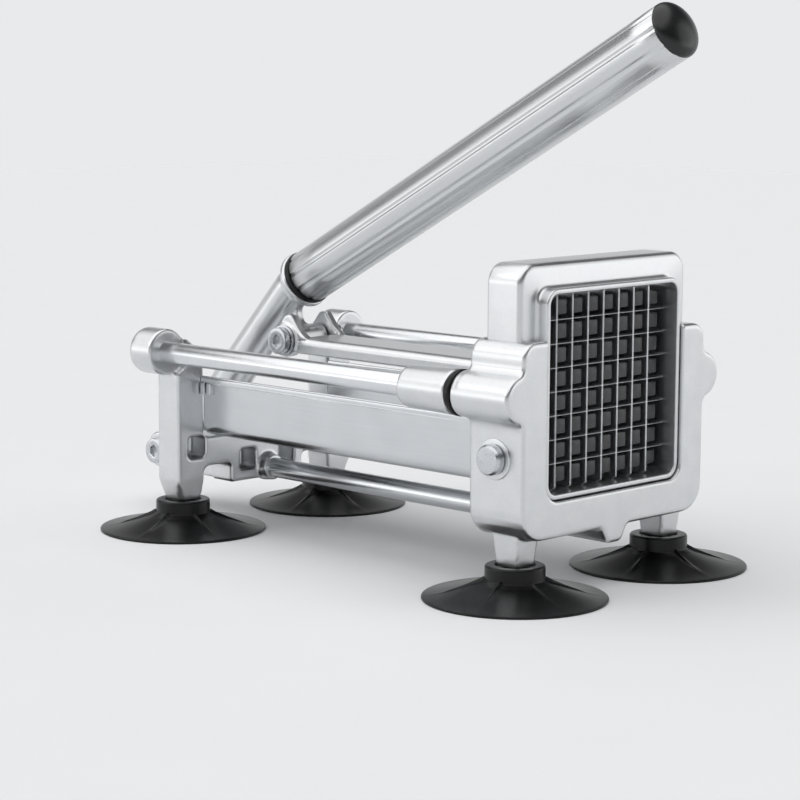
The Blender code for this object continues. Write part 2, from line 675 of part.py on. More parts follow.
def pocket(casting, x, z, half_width, half_height, radius):
    """A blind pocket in the rear frame's front face."""
    outline = rectangle(x - half_width, x + half_width, z - half_height, z + half_height, radius)
    mesh = prism([outline], "XZ", REAR_FRONT - OVERRUN, REAR_FRONT + POCKET_DEPTH)
    cut(casting, helper("pocket", mesh, base))


def rear_boss(casting, side):
    """The round end of the rear frame that holds a guide rod, with a rounded back edge."""
    middle = (REAR_BOSS_RADIUS - REAR_BOSS_ROUND, REAR_BOSS_LENGTH - REAR_BOSS_ROUND)
    edge = arc(*middle, REAR_BOSS_ROUND, math.pi / 2, 0)
    points = [(0, REAR_BOSS_LENGTH), *edge, (REAR_BOSS_RADIUS, 0), (0, 0)]
    place = (side * ROD_HALF, REAR_BOSS_FRONT, 0)
    boss = helper("rear_boss", profile(points), base, place, turn_to((0, 1, 0)))
    spin(boss)
    join(casting, boss)


def rear_rod_seat(casting, x, z, radius, front, back):
    """The stepped hole of a rod: its socket in front, its screw's head behind."""
    socket_end = front + ROD_SOCKET_DEPTH + GAP
    seat = rod((x, front - OVERRUN, z), (x, socket_end, z), radius + GAP)
    cut(casting, helper("rod_socket", seat, base))
    through = rod((x, front, z), (x, back + OVERRUN, z), ROD_SCREW_RADIUS + GAP, SMALL_STEPS)
    cut(casting, helper("screw_hole", through, base))
    head = back - SCREW_HEAD_HEIGHT - GAP
    counterbore = rod((x, head, z), (x, back + OVERRUN, z), SCREW_HEAD_RADIUS + GAP, SMALL_STEPS)
    cut(casting, helper("screw_counterbore", counterbore, base))


def rear_frame():
    """The casting at the back: two posts over the rear feet, a crossbar and the pivot lugs."""
    half = [
        (POST_INNER, CROSSBAR_TOP, CROSSBAR_FILLET),
        (POST_INNER, POST_SHOULDER, POST_SHOULDER_ROUND),
        (ROD_HALF - POST_TOP_INSET, POST_TOP, 0),
        (POST_OUTER, POST_CREST, 0),
        (POST_OUTER, POST_BOTTOM, 0),
        (POST_INNER, POST_BOTTOM, 0),
        (POST_INNER, ARCH_TOP, ARCH_OUTER_ROUND),
        (CROSSBAR_CENTRE, ARCH_TOP, ARCH_INNER_ROUND),
        (CROSSBAR_CENTRE, CROSSBAR_BOTTOM, CENTRE_EDGE_ROUND),
    ]
    frame = piece(
        "rear_frame", prism([rounded(mirrored(half))], "XZ", REAR_FRONT, REAR_BACK), CAST_ALUMINIUM, base
    )
    round_edges(frame, REAR_EDGE_ROUND)
    tie_boss = rod(
        (0, REAR_FRONT + SINK, TIE_ROD_HEIGHT),
        (0, REAR_FRONT - TIE_BOSS_LENGTH, TIE_ROD_HEIGHT),
        TIE_BOSS_RADIUS,
        ROUND_STEPS,
        TIE_BOSS_RADIUS * TIE_BOSS_TAPER_SHARE,
    )
    join(frame, helper("tie_boss", tie_boss, base))
    for side in (-1, 1):
        x = side * ROD_HALF
        scoop = rod((x, REAR_FRONT - OVERRUN, 0), (x, REAR_BOSS_FRONT + GAP, 0), REAR_BOSS_RADIUS - GAP)
        cut(frame, helper("boss_scoop", scoop, base))
        rear_boss(frame, side)
        half = POST_SIZE / 2 - GAP
        foot_boss(frame, side, REAR_FOOT_PLACE, POST_INNER + GAP, POST_OUTER - GAP, half)
        root = REAR_BACK - SINK
        low, high = PIVOT.z - CHEEK_EYE_RADIUS, PIVOT.z + CHEEK_EYE_RADIUS
        eye_end = PIVOT.y + CHEEK_EYE_RADIUS
        cheek = rounded(
            [
                (root, low, 0),
                (eye_end, low, CHEEK_EYE_RADIUS),
                (eye_end, high, CHEEK_EYE_RADIUS),
                (REAR_BACK + CHEEK_SHOULDER, CHEEK_TOP, CHEEK_EYE_RADIUS),
                (root, CHEEK_TOP, 0),
            ]
        )
        inner, outer = sorted((side * CHEEK_INNER, side * (CHEEK_INNER + CHEEK_THICKNESS)))
        join(frame, helper("cheek", prism([cheek], "YZ", inner, outer), base))
    for side in (-1, 1):
        pocket(
            frame,
            side * (FOOT_HALF + POST_OUTSET - SIDE_POCKET_INSET),
            SIDE_POCKET_HEIGHT,
            SIDE_POCKET_HALF_WIDTH,
            SIDE_POCKET_HALF_HEIGHT,
            SIDE_POCKET_ROUND,
        )
        pocket(
            frame,
            side * INNER_POCKET_PLACE,
            INNER_POCKET_HEIGHT,
            INNER_POCKET_HALF_WIDTH,
            INNER_POCKET_HALF_HEIGHT,
            INNER_POCKET_ROUND,
        )
        rear_rod_seat(frame, side * ROD_HALF, 0, ROD_RADIUS, REAR_BOSS_FRONT, REAR_BOSS_FRONT + REAR_BOSS_LENGTH)
    rear_rod_seat(frame, 0, TIE_ROD_HEIGHT, TIE_ROD_RADIUS, REAR_FRONT - TIE_BOSS_LENGTH, REAR_BACK)
    reach = CHEEK_INNER + CHEEK_THICKNESS + OVERRUN
    bore = rod((-reach, *PIVOT.yz), (reach, *PIVOT.yz), BOLT_RADIUS + GAP, SMALL_STEPS)
    cut(frame, helper("pivot_bore", bore, base))
    shade(frame)
    return frame


def tray():
    """The folded sheet that the potato lies in, with a hem along each wall."""
    half = TRAY_HALF - TRAY_THICKNESS / 2
    bottom = TRAY_BOTTOM + TRAY_THICKNESS / 2
    hem = half + TRAY_THICKNESS + HEM_GAP
    path = [(hem, TRAY_TOP - HEM_HEIGHT), (hem, TRAY_TOP), (half, TRAY_TOP)]
    path += [(x, z) for x, z in arc(half - TRAY_CORNER, bottom + TRAY_CORNER, TRAY_CORNER, 0, -math.pi / 2)]
    path = path + [(-x, z) for x, z in reversed(path)]
    mesh = bpy.data.meshes.new("tray")
    work = bmesh.new()
    points = [work.verts.new((x, TRAY_FRONT, z)) for x, z in path]
    edges = [work.edges.new(pair) for pair in zip(points, points[1:])]
    grown = bmesh.ops.extrude_edge_only(work, edges=edges)["geom"]
    moved = [v for v in grown if isinstance(v, bmesh.types.BMVert)]
    bmesh.ops.translate(work, vec=(0, TRAY_LENGTH, 0), verts=moved)
    bmesh.ops.recalc_face_normals(work, faces=work.faces)
    work.to_mesh(mesh)
    work.free()
    sheet = piece("tray", mesh, POLISHED_STEEL, base)
    wall = sheet.modifiers.new("sheet", "SOLIDIFY")
    wall.thickness = TRAY_THICKNESS
    wall.offset = 0.0
    wall.use_even_offset = True
    back = TRAY_FRONT + TRAY_LENGTH - GAP
    top = TRAY_TOP - CATCH_DROP
    for side in (-1, 1):
        inner, outer = sorted((side * half, side * (TRAY_HALF + CATCH_REACH)))
        middle = back - CATCH_LENGTH / 2
        for low, high in ((back - CATCH_LENGTH, middle - CATCH_SLOT / 2), (middle + CATCH_SLOT / 2, back)):
            ear = box((inner, low, top - CATCH_HEIGHT), (outer, high, top))
            join(sheet, helper("catch", ear, base))
    return sheet


def fixed_rod(name, x, z, radius, back):
    """A rod with a stud in the front frame and a tapped hole in its back end."""
    front = ROD_FRONT - ROD_STUD_LENGTH
    tapped = back - ROD_SCREW_LENGTH
    heights = (back - front, ROD_STUD_LENGTH, back - tapped)
    bore = ROD_SCREW_RADIUS + GAP
    points = [
        (0, heights[0] - heights[2]),
        (bore, heights[0] - heights[2]),
        (bore, heights[0]),
        (radius - ROD_CHAMFER, heights[0]),
        (radius, heights[0] - ROD_CHAMFER),
        (radius, heights[1] + ROD_CHAMFER),
        (radius - ROD_CHAMFER, heights[1]),
        (ROD_STUD_RADIUS, heights[1]),
        (ROD_STUD_RADIUS, 0),
        (0, 0),
    ]
    return turned(name, points, POLISHED_STEEL, base, (x, front, z), (0, 1, 0), steps=FINE_STEPS)


def socket_screw(name, place, axis, carrier, radius, length, head_radius, head_height):
    """A screw with a round head and a hexagon socket; its seat is at the place, its head outward."""
    socket = head_radius * SCREW_SOCKET_SHARE
    depth = head_height * SCREW_SOCKET_SHARE
    points = [
        (0, head_height),
        (head_radius * SCREW_TOP_SHARE, head_height),
        (head_radius, head_height * SCREW_EDGE_SHARE),
        (head_radius, 0),
        (radius, 0),
        (radius, -length),
        (0, -length),
    ]
    screw = turned(name, points, SATIN_STEEL, carrier, place, axis, steps=SMALL_STEPS)
    place, axis = Vector(place), Vector(axis)
    start = place + axis * (head_height - depth)
    hexagon = rod(start, place + axis * (head_height + OVERRUN), socket, HEX_SIDES)
    cut(screw, helper("socket", hexagon, carrier))
    return screw


def guide_parts():
    """The rods between the frames, their screws, and the rubber bumpers."""
    for name, side in (("left", -1), ("right", 1)):
        x = side * ROD_HALF
        back = REAR_BOSS_FRONT + ROD_SOCKET_DEPTH
        fixed_rod(f"guide_rod_{name}", x, 0, ROD_RADIUS, back)
        head = REAR_BOSS_FRONT + REAR_BOSS_LENGTH - SCREW_HEAD_HEIGHT
        socket_screw(
            f"guide_rod_screw_{name}",
            (x, head, 0),
            (0, 1, 0),
            base,
            ROD_SCREW_RADIUS,
            head - (back - ROD_SCREW_LENGTH) - GAP,
            SCREW_HEAD_RADIUS,
            SCREW_HEAD_HEIGHT,
        )
        start = FRONT_BOSS_BACK + GAP
        bore = ROD_RADIUS + GAP
        ring = [
            (bore, BUMPER_THICKNESS),
            (BUMPER_RADIUS - BUMPER_ROUND, BUMPER_THICKNESS),
            (BUMPER_RADIUS, BUMPER_THICKNESS - BUMPER_ROUND),
            (BUMPER_RADIUS, BUMPER_ROUND),
            (BUMPER_RADIUS - BUMPER_ROUND, 0),
            (bore, 0),
        ]
        turned(f"bumper_ring_{name}", ring, BLACK_RUBBER, base, (x, start, 0), (0, 1, 0), ring=True)
    front = REAR_FRONT - TIE_BOSS_LENGTH
    back = front + ROD_SOCKET_DEPTH
    fixed_rod("tie_rod", 0, TIE_ROD_HEIGHT, TIE_ROD_RADIUS, back)
    head = REAR_BACK - SCREW_HEAD_HEIGHT
    socket_screw(
        "tie_rod_screw",
        (0, head, TIE_ROD_HEIGHT),
        (0, 1, 0),
        base,
        ROD_SCREW_RADIUS,
        head - (back - ROD_SCREW_LENGTH) - GAP,
        SCREW_HEAD_RADIUS,
        SCREW_HEAD_HEIGHT,
    )


def suction_foot(name, x, y):
    """A rubber suction cup and the stud that holds it under a casting."""
    recess = FOOT_BOSS_RADIUS + CUP_RECESS_CLEARANCE
    recess_floor = CUP_HEIGHT - CUP_RECESS_DEPTH
    bore = STUD_RADIUS + GAP
    collar_foot = CUP_HEIGHT - CUP_COLLAR_HEIGHT
    spread = CUP_RADIUS - CUP_COLLAR_RADIUS
    lift = collar_foot - CUP_LIP
    skirt = [(CUP_COLLAR_RADIUS + out * spread, CUP_LIP + up * lift) for out, up in CUP_SKIRT_SHARES]
    under = [(radius, height - CUP_WALL) for radius, height in skirt[::-1] if height > CUP_WALL]
    hollow = collar_foot - CUP_WALL
    points = [
        (0, collar_foot),
        (bore, collar_foot),
        (bore, recess_floor),
        (recess, recess_floor),
        (recess, CUP_HEIGHT),
        (CUP_COLLAR_RADIUS, CUP_HEIGHT),
        (CUP_COLLAR_RADIUS, collar_foot),
        *skirt,
        (CUP_RADIUS, CUP_LIP),
        (CUP_RADIUS, 0),
        (CUP_RADIUS - CUP_WALL, 0),
        *under,
        (CUP_COLLAR_RADIUS, hollow),
        (0, hollow),
    ]
    turned(f"suction_cup_{name}", points, BLACK_RUBBER, base, (x, y, FLOOR), (0, 0, 1))
    chamfer = ROD_CHAMFER
    stud = [
        (0, STUD_LENGTH),
        (STUD_RADIUS - chamfer, STUD_LENGTH),
        (STUD_RADIUS, STUD_LENGTH - chamfer),
        (STUD_RADIUS, chamfer),
        (STUD_RADIUS - chamfer, 0),
        (0, 0),
    ]
    turned(f"foot_stud_{name}", stud, SATIN_STEEL, base, (x, y, STUD_FOOT), (0, 0, 1), steps=SMALL_STEPS)


def blade_outline(slots_at_back):
    """A blade's outline as (depth, height) points: tongues at its ends, half-lap slots across."""
    half = GRID_HALF
    end = OPENING_HALF + BLADE_TONGUE - GAP
    lap = BLADE_DEPTH / 2
    slot_half = BLADE_THICKNESS / 2 + GAP
    crossings = [(k + 1) * CELL_PITCH - GRID_HALF for k in range(CELLS - 1)]
    front = [(0, -half)]
    back = [(BLADE_DEPTH, end)]
    if slots_at_back:
        floor = lap - GAP / 2
        for at in reversed(crossings):
            back += [(BLADE_DEPTH, at + slot_half), (floor, at + slot_half)]
            back += [(floor, at - slot_half), (BLADE_DEPTH, at - slot_half)]
    else:
        floor = lap + GAP / 2
        for at in crossings:
            front += [(0, at - slot_half), (floor, at - slot_half)]
            front += [(floor, at + slot_half), (0, at + slot_half)]
    front += [(0, half), (BLADE_TONGUE_BACK, half), (BLADE_TONGUE_BACK, end)]
    back += [(BLADE_DEPTH, -end), (BLADE_TONGUE_BACK, -end), (BLADE_TONGUE_BACK, -half)]
    return front + back


def blades():
    """Seven upright and seven level blades, lapped into each other at every crossing."""
    upright = blade_outline(slots_at_back=True)
    level = [(height, depth) for depth, height in blade_outline(slots_at_back=False)]
    thickness = (-BLADE_THICKNESS / 2, BLADE_THICKNESS / 2)
    for k in range(CELLS - 1):
        at = (k + 1) * CELL_PITCH - GRID_HALF
        for name, outline, plane, place in (
            ("upright_blade", upright, "YZ", (at, 0, 0)),
            ("level_blade", level, "XY", (0, 0, at)),
        ):
            strip = prism([outline], plane, *thickness)
            piece(f"{name}_{k + 1}", strip, SATIN_STEEL, cassette_place, place)


def cassette_frame():
    """The square casting that carries the blades, with the raised rim round its opening."""
    outer = rectangle(-CASSETTE_HALF, CASSETTE_HALF, -CASSETTE_HALF, CASSETTE_HALF, CASSETTE_CORNER)
    body = prism([outer], "XZ", CASSETTE_FRONT, CASSETTE_BACK)
    frame = piece("cassette_frame", body, CAST_ALUMINIUM, cassette_place)
    round_edges(frame, CASSETTE_EDGE_ROUND, 2)
    rim = rectangle(-RIM_HALF, RIM_HALF, -RIM_HALF, RIM_HALF, RIM_CORNER)
    rim_mesh = prism([rim], "XZ", CASSETTE_FRONT - RIM_HEIGHT, CASSETTE_FRONT + SINK)
    join(frame, helper("raised_rim", rim_mesh, cassette_place))
    mouth = rectangle(-MOUTH_HALF, MOUTH_HALF, -MOUTH_HALF, MOUTH_HALF, MOUTH_CORNER)
    mouth_mesh = prism([mouth], "XZ", CASSETTE_FRONT - RIM_HEIGHT - OVERRUN, CASSETTE_FRONT)
    cut(frame, helper("mouth", mouth_mesh, cassette_place))
    hole = rectangle(-OPENING_HALF, OPENING_HALF, -OPENING_HALF, OPENING_HALF, OPENING_CORNER)
    hole_mesh = prism([hole], "XZ", CASSETTE_FRONT - OVERRUN, CASSETTE_BACK + OVERRUN)
    cut(frame, helper("opening", hole_mesh, cassette_place))
    slots = bmesh.new()
    width = BLADE_THICKNESS / 2 + GAP
    depth = (BLADE_TONGUE_BACK - GAP, CASSETTE_BACK + OVERRUN)
    for k in range(CELLS - 1):
        at = (k + 1) * CELL_PITCH - GRID_HALF
        for side in (-1, 1):
            low, high = sorted((side * (OPENING_HALF - OVERRUN), side * (OPENING_HALF + BLADE_TONGUE)))
            slots.from_mesh(box((at - width, depth[0], low), (at + width, depth[1], high)))
            slots.from_mesh(box((low, depth[0], at - width), (high, depth[1], at + width)))
    slot_mesh = bpy.data.meshes.new("blade_slots")
    slots.to_mesh(slot_mesh)
    slots.free()
    cut(frame, helper("blade_slots", slot_mesh, cassette_place))
    for side in (-1, 1):
        dimple = rod(
            (side * (CASSETTE_HALF - DIMPLE_DEPTH), KNOB_BACK, KNOB_HEIGHT),
            (side * (CASSETTE_HALF + OVERRUN), KNOB_BACK, KNOB_HEIGHT),
            DIMPLE_RADIUS,
            SMALL_STEPS,
        )
        cut(frame, helper("dimple", dimple, cassette_place))
    shade(frame)
    return frame


def fingers():
    """One square finger for each cell, tapered to its tip; the grid's corners cut four of them."""
    mesh = bpy.data.meshes.new("fingers")
    work = bmesh.new()
    rings = (
        (PUSHER_BASE_FRONT + FINGER_SINK, FINGER_WIDTH / 2),
        (TIP_BEHIND_EDGE + FINGER_TAPER, FINGER_WIDTH / 2),
        (TIP_BEHIND_EDGE, FINGER_TIP / 2),
    )
    centres = [(k + 1 / 2) * CELL_PITCH - GRID_HALF for k in range(CELLS)]
    corners = ((-1, -1), (1, -1), (1, 1), (-1, 1))
    for x in centres:
        for z in centres:
            shape = []
            for u, v in corners:
                if min(u * x, v * z) > GRID_HALF - CELL_PITCH:
                    ends = [(u, v * FINGER_CORNER_SHARE), (u * FINGER_CORNER_SHARE, v)]
                    shape += ends if u == v else ends[::-1]
                else:
                    shape.append((u, v))
            loops = [
                [work.verts.new((x + u * half, y, z + v * half)) for u, v in shape] for y, half in rings
            ]
            work.faces.new(loops[0])
            work.faces.new(loops[-1])
            for low, high in zip(loops, loops[1:]):
                for k in range(len(low)):
                    work.faces.new((low[k - 1], low[k], high[k], high[k - 1]))
    bmesh.ops.recalc_face_normals(work, faces=work.faces)
    work.to_mesh(mesh)
    work.free()
    return mesh


def pusher_block():
    """The moulded block that pushes the potato through: a base plate full of fingers."""
    half = PUSHER_HALF
    plate = prism([rectangle(-half, half, -half, half, PUSHER_CORNER)], "XZ", PUSHER_BASE_FRONT, PUSHER_BACK)
    block = piece("pusher_block", plate, BLACK_PLASTIC, carriage_slide)
    join(block, helper("fingers", fingers(), carriage_slide))
    for x, z in screw_corners():
        hole = rod(
            (x, PUSHER_BACK + OVERRUN, z),
            (x, CARRIAGE_BACK - PUSHER_SCREW_LENGTH - GAP, z),
            ROD_SCREW_RADIUS + GAP,
            SMALL_STEPS,
        )
        cut(block, helper("screw_hole", hole, carriage_slide))
    return block


def screw_corners():
    at = PUSHER_SCREW_PLACE
    return ((-at, -at), (at, -at), (-at, at), (at, at))


def carriage():
    """The casting that carries the pusher: a plate, two arms with sleeves, and a tongue."""
    plate = rectangle(-CARRIAGE_HALF, CARRIAGE_HALF, -CARRIAGE_HALF, CARRIAGE_HALF, CARRIAGE_CORNER)
    body = piece(
        "carriage", prism([plate], "XZ", CARRIAGE_FRONT, CARRIAGE_BACK), CAST_ALUMINIUM, carriage_slide
    )
    round_edges(body, REAR_EDGE_ROUND)
    arm_back = SLEEVE_BACK - ARM_BACK_INSET
    arm = rounded(
        [
            (ARM_ROOT, CARRIAGE_FRONT + SINK, 0),
            (ARM_STEP, CARRIAGE_FRONT + SINK, 0),
            (ARM_STEP, SLEEVE_FRONT + SINK, 0),
            (ROD_HALF, SLEEVE_FRONT + SINK, 0),
            (ROD_HALF, arm_back, 0),
            (ARM_STEP, arm_back, CARRIAGE_CORNER),
            (ARM_ROOT, CARRIAGE_BACK - SINK, 0),
        ]
    )
    for side in (-1, 1):
        outline = [(side * x, y) for x, y in arm]
        mesh = prism([outline], "XY", -ARM_HALF_HEIGHT, ARM_HALF_HEIGHT)
        join(body, helper("arm", mesh, carriage_slide))
        sleeve = [
            (0, SLEEVE_LENGTH),
            (SLEEVE_BACK_RADIUS - SLEEVE_CHAMFER, SLEEVE_LENGTH),
            (SLEEVE_BACK_RADIUS, SLEEVE_LENGTH - SLEEVE_CHAMFER),
            (SLEEVE_FRONT_RADIUS, SLEEVE_CHAMFER),
            (SLEEVE_FRONT_RADIUS - SLEEVE_CHAMFER, 0),
            (0, 0),
        ]
        place = (side * ROD_HALF, SLEEVE_FRONT, 0)
        form = helper("sleeve", profile(sleeve), carriage_slide, place, turn_to((0, 1, 0)))
        spin(form)
        join(body, form)
    eye = TONGUE_EYE_RADIUS
    root = CARRIAGE_BACK - SINK
    at = LINK_FRONT
    tongue = rounded(
        [
            (root, at.z - TONGUE_DROP, 0),
            (at.y - eye, at.z - TONGUE_DROP, TONGUE_ROUND),
            (at.y + eye, at.z - eye, TONGUE_ROUND),
            (at.y + eye, at.z + eye, eye),
            (root, at.z + eye, 0),
        ],
        EYE_ARC_STEPS,
    )
    join(body, helper("tongue", prism([tongue], "YZ", -TONGUE_HALF, TONGUE_HALF), carriage_slide))
    for side in (-1, 1):
        x = side * ROD_HALF
        bore = rod((x, SLEEVE_FRONT - SINK, 0), (x, SLEEVE_BACK + SINK, 0), SLEEVE_BORE)
        cut(body, helper("sleeve_bore", bore, carriage_slide))
    reach = TONGUE_HALF + OVERRUN
    pin = rod((-reach, *at.yz), (reach, *at.yz), FRONT_PIN_RADIUS + GAP, SMALL_STEPS)
    cut(body, helper("pin_bore", pin, carriage_slide))
    for x, z in screw_corners():
        hole = rod(
            (x, CARRIAGE_FRONT - OVERRUN, z),
            (x, CARRIAGE_BACK + OVERRUN, z),
            ROD_SCREW_RADIUS + GAP,
            SMALL_STEPS,
        )
        cut(body, helper("screw_hole", hole, carriage_slide))
    shade(body)
    names = ("lower_left", "lower_right", "upper_left", "upper_right")
    for name, (x, z) in zip(names, screw_corners()):
        socket_screw(
            f"pusher_screw_{name}",
            (x, CARRIAGE_BACK + GAP, z),
            (0, 1, 0),
            carriage_slide,
            ROD_SCREW_RADIUS,
            PUSHER_SCREW_LENGTH,
            SCREW_HEAD_RADIUS,
            SCREW_HEAD_HEIGHT,
        )
    for name, side in (("left", -1), ("right", 1)):
        length = SLEEVE_LENGTH
        outer = BUSHING_BORE + BUSHING_WALL
        ring = [(BUSHING_BORE, length), (outer, length), (outer, 0), (BUSHING_BORE, 0)]
        place = (side * ROD_HALF, SLEEVE_FRONT, 0)
        turned(f"bushing_{name}", ring, NYLON, carriage_slide, place, (0, 1, 0), ring=True, steps=FINE_STEPS)


def connecting_link():
    """The forked channel between the lever and the carriage, with an eye at each prong's end."""
    rear, front = LINK_REAR, LINK_FRONT
    half = LINK_WIDTH / 2
    bar_half = half - LINK_EYE_PROUD
    top, under = LINK_REAR.z + LINK_TOP, LINK_REAR.z + LINK_TOP - LINK_UNDER
    eye = LINK_EYE_RADIUS
    section = rounded(
        [
            (-bar_half, under, LINK_EYE_PROUD),
            (bar_half, under, LINK_EYE_PROUD),
            (bar_half, top, LINK_SHOULDER),
            (-bar_half, top, LINK_SHOULDER),
        ]
    )
    link = piece("connecting_link", prism([section], "XZ", front.y, rear.y), CAST_ALUMINIUM, link_axis)
    inner = half - LINK_PRONG
    for at in (rear, front):
        for side in (-1, 1):
            hub = rod((side * (inner - GAP), *at.yz), (side * half, *at.yz), eye)
            join(link, helper("link_eye", hub, link_axis))
    clear_front, clear_rear = front.y - eye - OVERRUN, rear.y + eye + OVERRUN
    web_front, web_rear = front.y + LINK_FRONT_FORK, rear.y - LINK_REAR_FORK
    low, web, high = under - eye, top - LINK_WEB, top + eye
    between = [
        (clear_front, low),
        (clear_rear, low),
        (clear_rear, high),
        (web_rear, high),
        (web_rear, web),
        (web_front, web),
        (web_front, high),
        (clear_front, high),
    ]
    cut(link, helper("channel_and_forks", prism([between], "YZ", -inner, inner), link_axis))
    ear = [(rear.y + LINK_WIDTH * y, rear.z + LINK_WIDTH * z) for y, z in EAR_SHARES]
    for side in (-1, 1):
        low, high = sorted((side * (inner + GAP), side * (bar_half - GAP)))
        join(link, helper("rear_ear", prism([ear], "YZ", low, high), link_axis))
    for at, radius in ((rear, BOLT_RADIUS), (front, FRONT_PIN_RADIUS)):
        bore = rod((-half - OVERRUN, *at.yz), (half + OVERRUN, *at.yz), radius + GAP, SMALL_STEPS)
        cut(link, helper("link_bore", bore, link_axis))
    shade(link)
    return link


def pivot_bolt(name, place, half_width, carrier, washer_room):
    """A bolt across a pivot: its socket head on the near side, its end in a nut on the far side."""
    seat = half_width + GAP + washer_room
    reach = half_width + GAP + NUT_HEIGHT
    socket_screw(
        name,
        (-seat, *place.yz),
        (-1, 0, 0),
        carrier,
        BOLT_RADIUS,
        seat + reach,
        BOLT_HEAD_RADIUS,
        BOLT_HEAD_HEIGHT,
    )


def nut(name, place, start, carrier, bore_radius=BOLT_RADIUS):
    y, z = place.y, place.z
    hexagon = piece(
        name, rod((start, y, z), (start + NUT_HEIGHT, y, z), NUT_RADIUS, HEX_SIDES), SATIN_STEEL, carrier
    )
    bore = rod(
        (start - OVERRUN, y, z), (start + NUT_HEIGHT + OVERRUN, y, z), bore_radius + GAP, SMALL_STEPS
    )
    cut(hexagon, helper("nut_bore", bore, carrier))
    return hexagon


def washer(name, place, inner_face, side, carrier):
    low = inner_face if side > 0 else -inner_face - WASHER_THICKNESS
    ring = [
        (BOLT_RADIUS + GAP, WASHER_THICKNESS),
        (WASHER_RADIUS, WASHER_THICKNESS),
        (WASHER_RADIUS, 0),
        (BOLT_RADIUS + GAP, 0),
    ]
    return turned(name, ring, SATIN_STEEL, carrier, (low, *place.yz), (1, 0, 0), ring=True, steps=FINE_STEPS)


def pivots():
    """The bolts of the lever, of the link's rear fork and of the link's front fork."""
    outer = CHEEK_INNER + CHEEK_THICKNESS
    pivot_bolt("lever_bolt", PIVOT, outer, base, 0)
    nut("lever_nut", PIVOT, outer + GAP, base)
    half = LINK_WIDTH / 2
    pivot_bolt("link_bolt", LINK_REAR, half, link_axis, WASHER_THICKNESS + GAP)
    washer("link_washer", LINK_REAR, half + GAP, -1, link_axis)
    nut("link_nut", LINK_REAR, half + GAP, link_axis)
    seat = half + GAP
    length = LINK_PRONG - GAP
    place = (-seat, *LINK_FRONT.yz)
    socket_screw(
        "front_pivot_screw",
        place,
        (-1, 0, 0),
        link_axis,
        FRONT_PIN_RADIUS,
        length,
        BOLT_HEAD_RADIUS,
        BOLT_HEAD_HEIGHT,
    )
    nut("front_pivot_nut", LINK_FRONT, seat, link_axis, FRONT_PIN_RADIUS)
    pin = [(0, 2 * TONGUE_HALF), (FRONT_PIN_RADIUS, 2 * TONGUE_HALF), (FRONT_PIN_RADIUS, 0), (0, 0)]
    place = (-TONGUE_HALF, *LINK_FRONT.yz)
    turned("front_pivot_pin", pin, SATIN_STEEL, carriage_slide, place, (1, 0, 0), steps=FINE_STEPS)


def lever_casting():
    """The cast lever: a round arm with an eye, a lug for the link, and a collar for the handle."""
    along = (BEND - PIVOT).normalized()
    across = Vector((0, along.z, -along.y))
    neck = PIVOT + along * LEVER_NECK
    arm = piece("lever_casting", rod(neck, BEND, LEVER_RADIUS), CAST_ALUMINIUM, lever_axis)
    eye_half = CHEEK_INNER - GAP
    eye = rod((-eye_half, *PIVOT.yz), (eye_half, *PIVOT.yz), LEVER_EYE_RADIUS)
    join(arm, helper("lever_eye", eye, lever_axis))
    corners = [
        PIVOT - across * LEVER_EYE_RADIUS,
        PIVOT + across * LEVER_EYE_RADIUS,
        PIVOT + across * LEVER_RADIUS * LEVER_NECK_SHARE + along * LEVER_NECK_END,
        PIVOT - across * LEVER_RADIUS * LEVER_NECK_SHARE + along * LEVER_NECK_END,
    ]
    web = [(corner.y, corner.z) for corner in corners]
    join(arm, helper("neck", prism([web], "YZ", -LEVER_NECK_HALF, LEVER_NECK_HALF), lever_axis))
    lug = prism([lug_outline(along)], "YZ", -LUG_WEB_HALF, LUG_WEB_HALF)
    join(arm, helper("link_lug", lug, lever_axis))
    at = (LINK_REAR.y - BITE_FORWARD, LINK_REAR.z + BITE_RISE)
    reach = LUG_WEB_HALF + OVERRUN
    cut(arm, helper("lug_bite", rod((-reach, *at), (reach, *at), BITE_RADIUS), lever_axis))
    ends = ((-TONGUE_HALF, *LINK_REAR.yz), (TONGUE_HALF, *LINK_REAR.yz))
    join(arm, helper("lug_eye", rod(*ends, LUG_EYE_RADIUS), lever_axis))
    knuckle = bpy.data.meshes.new("knuckle")
    work = bmesh.new()
    bmesh.ops.create_uvsphere(work, u_segments=ROUND_STEPS, v_segments=SMALL_STEPS, radius=LEVER_RADIUS)
    work.transform(Matrix.Translation(BEND))
    work.to_mesh(knuckle)
    work.free()
    join(arm, helper("knuckle", knuckle, lever_axis))
    face = -(GASKET_THICKNESS / 2 + GAP)
    spigot = HANDLE_RADIUS - HANDLE_WALL - GAP
    collar = [
        (0, SPIGOT_LENGTH),
        (spigot - ROD_CHAMFER, SPIGOT_LENGTH),
        (spigot, SPIGOT_LENGTH - ROD_CHAMFER),
        (spigot, face),
        (COLLAR_RADIUS - ROD_CHAMFER, face),
        (COLLAR_RADIUS, face - ROD_CHAMFER),
        (COLLAR_RADIUS, face - COLLAR_LENGTH),
        (LEVER_RADIUS + COLLAR_FILLET, face - COLLAR_LENGTH - COLLAR_FILLET),
        (LEVER_RADIUS - SINK, -BEND_SETBACK),
        (0, -BEND_SETBACK),
    ]
    form = helper("collar", profile(collar), lever_axis, COLLAR, turn_to(HANDLE_AXIS))
    spin(form, WIDE_STEPS)
    join(arm, form)
    for name, at, half in (("pivot_bore", PIVOT, eye_half), ("link_bore", LINK_REAR, TONGUE_HALF)):
        reach = half + OVERRUN
        bore = rod((-reach, *at.yz), (reach, *at.yz), BOLT_RADIUS + GAP, SMALL_STEPS)
        cut(arm, helper(name, bore, lever_axis))
    shade(arm)
    return arm


